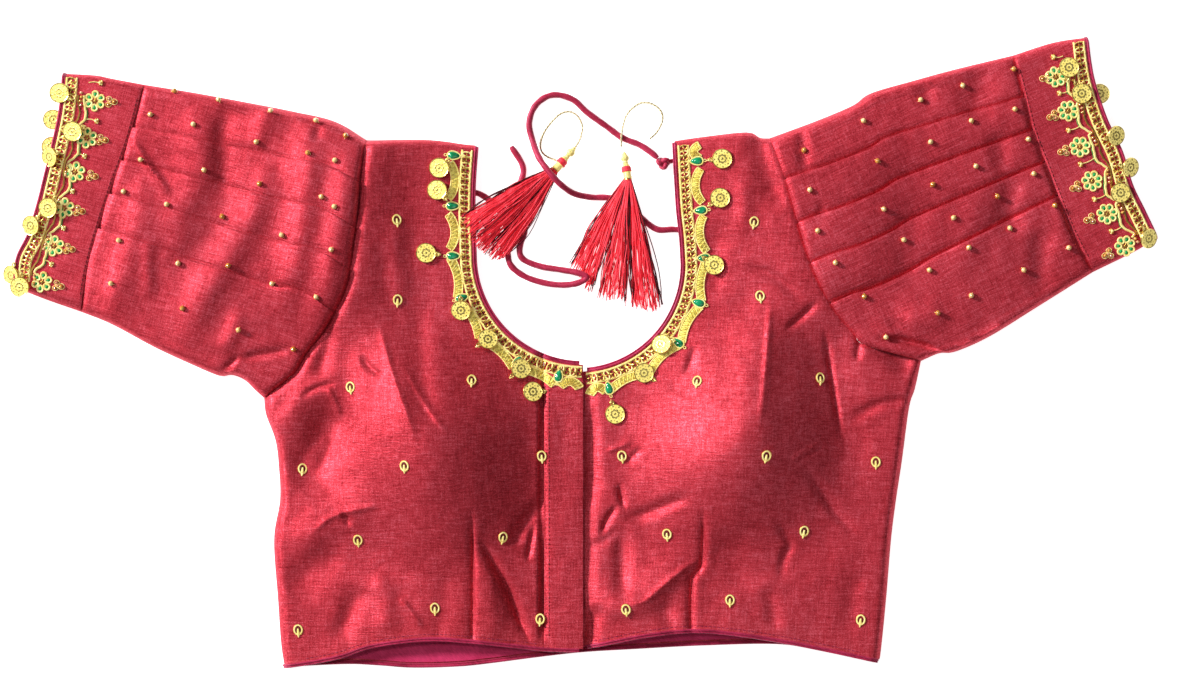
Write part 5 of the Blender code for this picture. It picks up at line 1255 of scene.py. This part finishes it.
def chain(shape, line, sign, first, last, trees, near, far):
    """The chain band: two couched rails and the linked rings between them."""
    along = np.arange(first, last, 1.25)
    for offset, phase in ((near + 0.45, 0.0), (far - 0.45, math.pi)):
        wave = 0.22 * np.sin(along / RING_PITCH * TAU + phase)
        beside = np.full(len(along), offset + 0.55 * (1 if phase else -1))
        cord(shape, lay(trees, line.beside(along, sign * (offset + wave)), 0.62), RAIL, "zari_pale")
        cord(shape, lay(trees, line.beside(along, sign * beside), 0.3), THIN_THREAD, "zari_pale", 4)
    hook = spline(((-0.7, -1.6, 0.25), (0.1, -0.6, 0.75), (-0.1, 0.5, 0.75), (0.7, 1.7, 0.25)), 0.8)
    for i, spot in enumerate(np.arange(first + 1.9, last - 1.2, RING_PITCH)):
        toward = unit(line.beside(spot + 0.9, sign * far) - line.beside(spot - 0.9, sign * near))
        where, axes = seat(trees, line.beside(spot, sign * (near + far) / 2), toward, 0.75)
        torus(shape, where, axes, (far - near) / 2 - 0.65, 1.55, RING_WIRE, "zari_pale" if i % 2 else "zari",
              tilt=0.28, narrow=0.15)
        cord(shape, put(hook, where, axes), HOOK_WIRE, "zari", 5)


def stone(shape, trees, flat, toward):
    """A pear-cut stone in a corded setting, its broad end `toward` a flat direction."""
    where, axes = seat(trees, flat, toward, 0.2)
    shares = np.array((0.0, 0.05, 0.14, 0.27, 0.42, 0.58, 0.73, 0.86, 0.95, 1.0))
    half = STONE_WIDTH / 2 * np.sqrt(shares) * (1 - shares ** 3.2) ** 0.5 * 1.12
    ahead = (shares - 0.52) * STONE_LENGTH
    outline = np.vstack((np.column_stack((ahead, half)), np.column_stack((ahead, -half))[-2:0:-1]))
    count = len(outline)

    def ring(size, shift, z):
        return raised(outline * size + (shift, 0), z)

    core = 1 - STONE_RIM / STONE_LENGTH
    points = np.vstack((ring(core, 0, 0.1), ring(core, 0, 0.9), ring(core * 0.82, 0, 1.45),
                        ring(core * 0.48, 0.2, 1.9)))
    wall, _, face = tube(4, count)
    shape.add(put(points, where, axes), [wall, face], "stone")
    cord(shape, put(ring(0.955, 0, 0.75), where, axes), 0.5, "zari_pale", closed=True)
    cord(shape, put(ring(1.03, 0, 0.35), where, axes), 0.36, "zari", 5, closed=True)
    for ahead, z, long, wide, radius in ((-0.52 * STONE_LENGTH - 1.0, 0.5, 1.15, 0.8, 0.32),
                                         (0.48 * STONE_LENGTH + 1.1, 0.6, 0.95, 0.85, 0.3)):
        torus(shape, put((ahead, 0, z), where, axes), axes, long, wide, radius, "zari_pale", 12)


def crescent(shape, line, sign, middle, trees, length=CRESCENT_LENGTH):
    """A netted crescent, its hollow away from the band."""
    count, columns, steps = 30, 7, 19
    share = np.linspace(-1, 1, count)
    centre = CRESCENT_OUT + CRESCENT_BOW * share ** 2
    along = middle + share * length / 2 * (1 - 0.05 * share ** 2)
    lean = np.gradient(centre, along)
    reach = CRESCENT_HALF * (1 - 0.12 * share ** 6) / np.sqrt(1 + lean ** 2)

    def at(k, across):
        """Flat points `across` half widths from the centre line, square to it."""
        return line.beside(along[k] - reach[k] * across * lean[k], sign * (centre[k] + reach[k] * across))

    every = np.arange(count)
    rows = [lay(trees, at(every, across), 0.9 - 0.55 * across ** 2) for across in np.linspace(-1, 1, columns)]
    shape.add(rows, [loft(columns, count)[:, ::-sign]], "zari_green")
    for across in (-1, 1):
        twisted(shape, lay(trees, at(every, across), 0.62), 0.5, "zari_pale", 1.6, 2)
    for k in (0, -1):
        ends = at(np.full(4, k), np.array((-1, -0.3, 0.3, 1)))
        cord(shape, lay(trees, ends, 0.7), 0.4, "zari_pale", 5)
    places = np.round(np.linspace(0, count - 1, steps)).astype(int)
    for phase in (0, 1):
        sway = np.where((np.arange(steps) + phase) % 2, 0.82, -0.82)
        kind = "zari" if phase else "zari_pale"
        cord(shape, lay(trees, at(places, sway), 1.05 - 0.1 * phase), THIN_THREAD, kind, 4)


def butta(shape, trees, flat, turn):
    """A small woven motif: an oval ring, an arch inside it and a tongue from below."""
    where, axes = seat(trees, flat, heading(math.radians(90 + turn)), 0.25)
    if -PLACKET_WIDTH - 6 < flat[0] < -PLACKET_WIDTH + 4:
        over, axes = seat([TREES["placket"]], (-PLACKET_WIDTH + 4, flat[1]), axes[0][:2], 0.3)
        where[2] = over[2]
    torus(shape, where + 0.1 * axes[2], axes, 3.3, 2.75, 0.62, "zari_pale", 20, 6)
    torus(shape, where, axes, 3.85, 3.25, 0.32, "zari", 20, 4)
    arch = ((-1.6, 1.35, 0.1), (0.4, 1.5, 0.2), (1.6, 0.6, 0.25), (1.6, -0.6, 0.25), (0.4, -1.5, 0.2),
            (-1.6, -1.35, 0.1))
    tongue = spline(((-2.4, 0, 0.15), (-0.6, 0.12, 0.35), (0.9, 0, 0.25)), 0.7)
    point = ((-3.0, 0, 0.1), (-4.2, 0.1, 0.2), (-5.3, 0.2, 0.1))
    cord(shape, put(spline(arch, 0.7), where, axes), 0.36, "dark_thread", 5)
    cord(shape, put(tongue, where, axes), 0.85, "zari_pale", scale=np.linspace(1.2, 0.7, 5))
    cord(shape, put(point, where, axes), 0.95, "zari_pale", scale=(1.0, 0.75, 0.3))


def sewn_bead(shape, trees, flat, radius, material, turn=0.0):
    """A round bead held by a stitch that shows at both of its sides."""
    where, axes = seat(trees, flat, heading(turn))
    bead(shape, where + axes[2] * radius * 0.78, radius, material, axes, 0.9)
    thread = ((-1.12, 0, 0.1), (-0.95, 0, 0.9), (0, 0, 1.72), (0.95, 0, 0.9), (1.12, 0, 0.1))
    cord(shape, put(np.array(thread) * radius, where, axes), 0.16, "zari_pale", 4)


def flower(shape, trees, flat, toward, petals):
    """A flower of corded petals, each with a green middle."""
    where, axes = seat(trees, flat, toward, 0.3)
    for angle in TAU * (np.arange(petals) + 0.5) / petals:
        x, y = heading(angle)
        local = (x * axes[0] + y * axes[1], x * axes[1] - y * axes[0], axes[2])
        middle = where + local[0] * PETAL_OUT
        torus(shape, middle + 0.3 * axes[2], local, 2.2, 1.8, 0.74, "zari_pale", tilt=0.1, narrow=-0.25)
        bead(shape, middle + 0.25 * axes[2], 1.45, "petal", local, 0.55)
        cord(shape, (where + 0.5 * axes[2], middle - 1.8 * local[0] + 0.3 * axes[2]), 0.34, "zari", 5)
    bead(shape, where + 0.55 * axes[2], 1.0, "zari", axes, 0.7, 8)


def cluster(shape, trees, flat, toward):
    """Four beads in thread loops, the last one between the others."""
    where, axes = seat(trees, flat, toward)
    for ahead, across, radius, kind in ((-1.4, 2.1, 1.15, "rose_bead"), (-1.6, -2.0, 1.2, "amber"),
                                        (2.3, 0.2, 1.5, "amber"), (-0.1, 0.1, 0.95, "rose_bead")):
        middle = put((ahead, across, 0.0), where, axes)
        bead(shape, middle + axes[2] * radius * 0.8, radius, kind, axes, 0.9)
        torus(shape, middle + axes[2] * 0.4, axes, radius + 0.75, radius + 0.5, 0.24, "zari_pale", 14, 4)


def stalk(shape, trees, start, flat):
    """A thread that ends in a small head of beads."""
    way = flat - start
    toward = unit(way)
    path = spline((start, start + 0.5 * way + 0.7 * left_of(toward), flat), 1.2)
    cord(shape, lay(trees, path, 0.45), 0.34, "zari_pale", 5)
    where, axes = seat(trees, flat, toward)
    bead(shape, where + 1.15 * axes[2], 1.15, "zari_pale", axes, 0.9, 8)
    for i, angle in enumerate(np.radians(range(-104, 105, 52))):
        middle = put((*(1.45 * heading(angle) + (0.3, 0)), 0.75), where, axes)
        bead(shape, middle, 0.72, "zari_pale" if i % 2 else "amber", axes, 1.0, 8)


# A stem's winding from one flower to the next: share of the way, its near and its far line from the edge
STEM = ((-0.12, 12.6, 16.8), (0.1, 13.2, 17.6), (0.32, 14.9, 19.2), (0.5, 14.7, 19.6), (0.68, 13.1, 16.8),
        (0.8, 12.4, 14.4))
STEM_CORDS = ((0.55, 0.66, "zari"), (0.7, 0.84, "zari_pale"), (0.3, 0.3, "petal"))       # lift, radius


def cuff_trim(side):
    """The cuff's chain band, its two winding stems, flowers, beads and stalks."""
    line, sign, shape = CUFF_PATCH[side].far, SIGN[side], Shape()
    trees = [TREES[f"cuff_{side}"]]
    chain(shape, line, sign, 3.0, line.length - 2.5, trees, *CUFF_BAND)
    flowers, clusters, stalks = (np.array(row) for row in CUFF_WORK[side])
    petals = 6 if side == "right" else 7
    spots = [line.along(flat) for flat in flowers]
    ways = [], [], []
    for spot, after in zip(spots, (*spots[1:], 2 * spots[-1] - spots[-2])):
        for share, low, high in STEM:
            along = spot + share * (after - spot)
            if 3 < along < line.length - 3:
                for way, offset in zip(ways, (low, high, high + (1.2 if 0 < share < 0.6 else 0.3))):
                    way.append(line.beside(along, sign * offset))
    for way, (lift, radius, kind) in zip(ways, STEM_CORDS):
        path = spline(way, 1.4)
        path = moved_left(path, 0.16 * np.sin(np.arange(len(path)) * 1.7)[:, None])
        cord(shape, lay(trees, path, lift), radius, kind, 5)
    for spot, flat, tip in zip(spots, flowers, clusters):
        toward = unit(tip - flat)
        flower(shape, trees, flat, toward, petals)
        cluster(shape, trees, tip, toward)
        for k in range(4):
            along = spot + (k - 1.6) * 2.7
            if 3 < along < line.length - 3:
                place = line.beside(along, sign * (14.6 + 0.5 * (k % 2)))
                sewn_bead(shape, trees, place, CUFF_BEAD, "amber" if (k + petals) % 3 else "rose_bead")
    for flat in stalks:
        stalk(shape, trees, line.beside(line.along(flat), sign * 19.4), flat)
    finish_trim(shape, "cuff", side)


def finish_trim(shape, kind, side):
    piece = shape.make(f"{kind}_trim_{side}_work", 35, f"{kind}_trim_{side}", "zari")
    TREES[f"{kind}_trim_{side}"] = tree_of(piece)


def neck_trim(side):
    """The neck's chain band, stones and crescents."""
    line, sign, shape = NECK[side], SIGN[side], Shape()
    trees = [TREES[f"front_{side}"]] + ([TREES["placket"]] if side == "right" else [])
    start, end = (line.along(place) for place in NECK_BAND[side])
    chain(shape, line, sign, start, end, trees, *BAND)
    spots = sorted(line.along(flat) for flat in STONES[side])
    for flat, spot in zip(STONES[side], spots[::-1]):
        ahead = line.at(spot + 1) - line.at(spot - 1)
        stone(shape, trees, flat, sign * left_of(ahead))
    pitch = (spots[-1] - spots[0]) / (len(spots) - 1)
    for before, after in zip(spots, spots[1:]):
        crescent(shape, line, sign, (before + after) / 2, trees)
    for middle in (spots[0] - pitch / 2, spots[-1] + pitch / 2):
        low = max(middle - CRESCENT_LENGTH / 2, start + 0.8)
        high = min(middle + CRESCENT_LENGTH / 2, end - 0.8)
        if high - low > 6:
            crescent(shape, line, sign, (low + high) / 2, trees, high - low)
    finish_trim(shape, "neck", side)


def scattered():
    """The woven motifs of the fronts and the beads of the sleeves."""
    for side in SIDES:
        shape = Shape()
        for i, flat in enumerate(BUTTAS[side]):
            butta(shape, [TREES[f"front_{side}"]], flat, 9 * math.sin(2.3 * i + SIGN[side]))
        shape.make(f"motifs_{side}", slot="zari")
        trees = [TREES[f"sleeve_{side}"], TREES[f"cuff_{side}"]]
        shape = Shape()
        for i, flat in enumerate(SLEEVE_BEADS[side]):
            sewn_bead(shape, trees, flat, SLEEVE_BEAD, "gilt_bead" if i % 4 else "amber", 1.9 * i)
        shape.make(f"sleeve_beads_{side}", slot="zari")


def seams():
    """Topstitching on the placket, above the hems and beside the cuff seams."""
    shape = Shape()

    def sewn(label, flat, thread, length, pitch, radius):
        stitches(shape, lay([TREES[label]], flat, 0.05), thread, length, pitch, radius)

    for inset in (1.3, 3.6):
        sewn("placket", straight(inset - PLACKET_WIDTH, 22, 206, 2.0), "dark_thread", 1.9, 2.9, 0.17)
    for side in SIDES:
        path = moved_left(CUFF_PATCH[side].near.points, -1.6 * SIGN[side])[4:-4]
        sewn(f"cuff_{side}", path, "dark_thread", 2.0, 3.2, 0.24)
        hem = hem_curve(side, PIPING + 1.9)
        hem = hem[(np.abs(hem[:, 0]) < 196) & (SIGN[side] * hem[:, 0] < (-29 if side == "right" else -4))]
        sewn(f"front_{side}", hem, "binding_thread", 2.1, 3.0, 0.22)
    shape.make("topstitching", 50, slot="thread")


def coin_relief(r, angle):
    """The struck face: a lotus of two rounds of petals inside a beaded rim."""
    height = 0.32 * smooth((r - 6.25) / 0.3)
    height += 0.2 * bell(r - 5.65, 0.32) * (0.5 + 0.5 * np.cos(40 * angle)) ** 2
    height += 0.16 * bell(r - 5.0, 0.12)
    for start, reach, wide, turn in ((1.2, 3.4, 0.26, 0.0), (2.0, 4.6, 0.22, math.pi / 8)):
        off = np.abs((angle - turn + math.pi / 8) % (TAU / 8) - math.pi / 8) * r
        share = np.clip((r - start) / (reach - start), 0, 1)
        half = 0.95 * np.sin(math.pi * share ** 0.8) ** 0.7
        height += 0.2 * bell(off - half, wide) * (share > 0) * (share < 1)
        height += 0.1 * (off < half) * (1 - off / np.maximum(half, 1e-3))
    return height + 0.26 * smooth((1.15 - r) / 0.5)


def coin_shape():
    """A coin's points (flat, with its eyelet along +x), and its faces' blocks for each material. The struck
    face's low field takes a darker gold: painted shade in its recesses.
    """
    sectors = 56
    face = (0.5, 1.0, 1.5, 2.0, 2.5, 3.0, 3.5, 4.0, 4.45, 4.9, 5.1, 5.45, 5.65, 5.85, 6.15, 6.4, 6.8)
    r, turn = np.meshgrid(face, turns(sectors), indexing="ij")
    z = COIN_WALL / 2 - 0.12 + coin_relief(r, turn)
    top = np.stack((r * np.cos(turn), r * np.sin(turn), z), axis=-1)
    below = ((COIN_RADIUS, 0.55), (COIN_RADIUS, -0.35), (6.8, -0.55), (6.1, -0.55), (5.9, -0.4), (0.6, -0.4))
    rings = [raised(circle(sectors, radius), z) for radius, z in below]
    points = np.vstack(((0, 0, 0.69), *top, *rings))
    wall, fan, last = (block + 1 for block in tube(len(face) + len(below), sectors))
    fan = np.column_stack((np.zeros(sectors, int), fan[0, ::-1], np.roll(fan[0, ::-1], -1)))
    struck = sectors * (len(face) - 1)
    # The low field's faces, under the raised relief, take the darker gold: painted shade
    deep = (points[wall, 2].mean(1) < COIN_WALL / 2) & (np.arange(len(wall)) < struck)
    wall = wall[:, ::-1]
    return points, {"coin": [wall[~deep], fan, last[:, ::-1]], "coin_recess_shade": [wall[deep]]}


def plane_of(name):
    """The upper face of a coin's solid: its normal, and a point of it."""
    faces = bpy.data.objects[name].data.polygons
    best = max((f for f in faces if f.normal.z > 0.3), key=lambda f: f.area)
    return np.array(best.normal), np.array(best.center) / MM - SHIFT


def settled(where, axes, trees):
    """How far a coin rises or sinks to rest on what lies under it."""
    spots = np.vstack([circle(14, r) for r in (1.5, 3.5, 5.3, 6.9)])
    under = put(raised(spots, -0.62), where, axes)
    return np.nanmax(ground(trees, under[:, :2]) - under[:, 2]) + 0.12


def coins():
    points, blocks = coin_shape()
    for group, rows in COINS.items():
        kind, side = group.split("_")[:2]
        trees = [TREES[("front_" if kind == "neck" else "cuff_") + side], TREES["placket"],
                 TREES[f"{kind}_trim_{side}"]]
        for i, (x, y, turn) in enumerate(rows):
            name = f"coin_{group}_{i + 1}"
            normal, centre = plane_of(name)
            z = centre[2] - (normal[0] * (x - centre[0]) + normal[1] * (y - centre[1])) / normal[2]
            axes = basis(normal, (*heading(math.radians(turn)), 0))
            where = np.array((x, y, z)) - normal * COIN_WALL / 2
            if not group.endswith("in"):
                where[2] += settled(where, axes, trees)
            shape = Shape()
            shape.add(put(points, where, axes), blocks["coin"], "coin")
            shape.faces += [(block, "coin_recess_shade") for block in blocks["coin_recess_shade"]]
            torus(shape, put((COIN_LUG, 0, 0), where, axes), axes, 1.3, 1.3, 0.5, "coin", 16, 7)
            upright = (axes[0], 0.45 * axes[1] + 0.89 * axes[2], -0.89 * axes[1] + 0.45 * axes[2])
            torus(shape, put((COIN_LINK, 0, 0.1), where, axes), upright, 1.25, 0.95, 0.24, "zari_pale", 16)
            trees.append(tree_of(shape.make(f"{name}_struck", 50, name, "coin")))
# Ties and tassels


def with_height(points, low):
    """Points (x, y, z); those that have no height are at `low`."""
    return np.array([(*point, low)[:3] for point in points])


def tie_profile():
    """A turned tube of cloth, pressed a little flat, its seam along one side."""
    angles = turns(16)
    size = 1 - 0.14 * bell(angles - 0.35, 0.22) - 0.05 * bell(angles - 1.7, 0.25)
    return circle(16, TIE_WIDTH / 2, TIE_SQUASH) * size[:, None]


def knot():
    """An overhand knot drawn tight, and the tie's end past it."""
    turn = turns(72)
    local = np.column_stack((np.sin(turn) + 2 * np.sin(2 * turn), np.cos(turn) - 2 * np.cos(2 * turn),
                             -np.sin(3 * turn)))
    path = np.array(TIE_KNOT) + local * (np.array(TIE_KNOT_SIZE) - 1.7) * (1.05 / 2.9, 1.05 / 2.9, 0.85)
    shape = Shape()
    swept(shape, path, circle(9, 1.75, 0.9), "tie", closed=True)
    tail = spline(((55.0, 354.2, 4.2), (59.5, 355.2, 3.4), (64.3, 356.4, 2.6)), 1.2)
    swept(shape, tail, tie_profile() * 0.85, "tie", scale=(1.0, 0.8))
    return shape.make("tie_knot_left_drawn", 60, "tie_knot_left", "piping")


def tie(side):
    path = spline(with_height(TIE_ROUTES[side], TIE_LOW), 1.6)
    along = np.linspace(0, distances(path)[-1], len(path))
    scale = 1 + 0.05 * np.sin(along / 5.3) * np.sin(along / 2.1 + 1) + 0.03 * np.sin(along / 1.3)
    scale[-3:] *= (1.0, 0.9, 0.72)
    shape = Shape()
    swept(shape, path, tie_profile(), "tie", scale=scale)
    piece = shape.make(f"tie_{side}_tube", 60, f"tie_{side}", "piping")
    end = {"with_pieces": [knot()], "far_end": "knot"} if side == "left" else {"far_end": "bare"}


def strand(rng, share, layer, root, way, across, flip, tip):
    """The path of one strand, from inside the head to its tip."""
    spread = (share - 0.5) * flip
    start = root + across * spread * 4.8 + UP * layer * 1.6 * math.sqrt(max(0.0, 1 - (2 * spread) ** 2))
    reach = rng.uniform(0.9, 1.03) if rng.random() < 0.85 else rng.uniform(0.72, 0.9)
    tip = start + (tip - start) * reach
    tip[2] = max(tip[2] + layer * 0.9 + 0.4, 0.55)
    fall = tip - start
    bend = across * rng.normal(0, 1.1)
    middle = start + 0.45 * fall + across * spread * 3.0 + bend
    middle[2] = start[2] + 0.5 * fall[2] + 0.5 + layer * 1.0
    low = start + 0.78 * fall + across * spread * 1.5 + bend * 0.8 + across * rng.normal(0, 0.5)
    low[2] = max(start[2] + 0.85 * fall[2] + layer, 0.6)
    path = spline((root - way * 2.5 + (start - root) * 0.85, start, middle, low, tip), 6.0)
    along = np.linspace(0, 1, len(path))[:, None]
    curl = np.sin(along * rng.uniform(6, 15) + rng.uniform(0, TAU))
    path = path + smooth(along * 2) * curl * (0.7 * across + 0.25 * UP)
    path[:, 2] = np.maximum(path[:, 2], 0.5)
    return path


def tassel(side, root, end, tips, gaps):
    """A fan of strands from a wrapped head. gaps are shares of the fan with few strands in them."""
    fan = spline(tips, 2.0)
    run = distances(fan)
    run /= run[-1]
    way = unit(tips.mean(0) - root)
    across = unit(np.cross(way, UP))
    flip = 1 if np.dot(fan[-1] - fan[0], across) > 0 else -1
    rng = np.random.default_rng(5 if side == "right" else 9)
    shape = Shape()
    for i in range(STRANDS):
        share = (i + rng.uniform(0, 1)) / STRANDS
        for low, high in gaps:
            if low < share < high:
                share = low - 0.02 * rng.random() if share < (low + high) / 2 else high + 0.02 * rng.random()
        share = min(max(share, 0.0), 1.0)
        tip = np.array([np.interp(share, run, fan[:, k]) for k in range(3)])
        layer = rng.uniform(-1, 1)
        path = strand(rng, share, layer, root, way, across, flip, tip)
        # Strands at the fan's edges and beside its gaps are near black, painted shade where the fan thins; a
        # few others are near black at random. The lowest strands take the deeper red, painted shade under the
        # rest; a few others take it at random, for tone.
        near_gap = min(abs(share - edge) for gap in gaps for edge in gap)
        dark = rng.random() < (0.7 if min(share, 1 - share) < 0.03 else 0.6 if near_gap < 0.02 else 0.02)
        kind = "tassel_dark_and_shade" if dark else "tassel_deep_and_shade" if rng.random() < 0.1 or layer < -0.7 else "tassel"
        cord(shape, path, rng.uniform(*STRAND_RADII), kind, 4, scale=np.linspace(1.0, 0.75, len(path)))
    axis, wrap = unit(end - root), root - way * 0.5
    share = np.linspace(0, 1, WRAPS * 12 + 1)[:, None]
    angle, size = share * WRAPS * TAU, 2.7 - 0.35 * share
    coil = (wrap + axis * share * HEAD_LENGTH
            + size * (np.cos(angle) * across + np.sin(angle) * np.cross(axis, across)))
    cord(shape, coil, 0.45, "zari_pale", 5)
    core = [wrap + axis * k for k in np.linspace(-1.0, HEAD_LENGTH + 0.5, 5)]
    cord(shape, core, 2.5, "zari", 12, scale=np.linspace(1.05, 0.85, 5))
    shape.make(f"tassel_{side}_strands", 70, f"tassel_{side}", "thread")


def cap(side, root, end):
    """The tassel's turned metal cap, fluted above its rim."""
    axis = unit(end - root)
    start = root + axis * HEAD_LENGTH
    across, over = (found[0] for found in frames(np.array((start, end))))
    angles = turns(CAP_SECTORS)[:, None]
    outward = np.cos(angles) * across + np.sin(angles) * over
    rings = []
    for share, radius in CAP_ROWS:
        fluted = 0.16 < share < 0.4 or 0.6 < share < 0.8
        flute = 1 + 0.05 * fluted * np.cos(10 * angles)
        rings.append(start + (end - start) * share + radius * flute * outward)
    wall, *ends = tube(len(rings), CAP_SECTORS)
    wrapped = CAP_SECTORS * sum(share < WRAPPED for share, _ in CAP_ROWS)
    shape = Shape()
    shape.add([], [wall[:wrapped]], "tassel")
    shape.add(rings, [wall[wrapped:], *ends], "zari_pale")
    shape.make(f"tassel_cap_{side}_turned", 40, f"tassel_cap_{side}", "zari")


def loop(side):
    """The gold cord from the cap round and back."""
    path = spline(with_height(LOOPS[side], LOOP_LOW), 1.5)
    shape = Shape()
    # One strand of the three is dark gold: painted shade along the cord
    twisted(shape, path, LOOP_RADIUS, "zari_cream", 2.6, 3, True)
    piece = shape.make(f"tassel_loop_{side}_laid", 60, f"tassel_loop_{side}", "zari")


for side in SIDES:
    tie(side)
for side in SIDES:
    root, end = (np.array(TASSELS[side][key]) for key in ("root", "end"))
    tassel(side, root, end, with_height(TASSELS[side]["tips"], TIPS_LOW), TASSELS[side]["gaps"])
    cap(side, root, end)
    loop(side)


# Everything in its place

SHELLS = {}
for side in SIDES:
    SHELLS.update({f"front_{side}": front(side), f"sleeve_{side}": sleeve(side), f"cuff_{side}": cuff(side)})
SHELLS.update({"placket": placket(), "back": back()})
TREES = {}
for label, piece in SHELLS.items():
    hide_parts(label)
    TREES[label] = tree_of(piece)
bindings()
facing()
for side in SIDES:
    neck_trim(side)
    cuff_trim(side)
scattered()
seams()
coins()
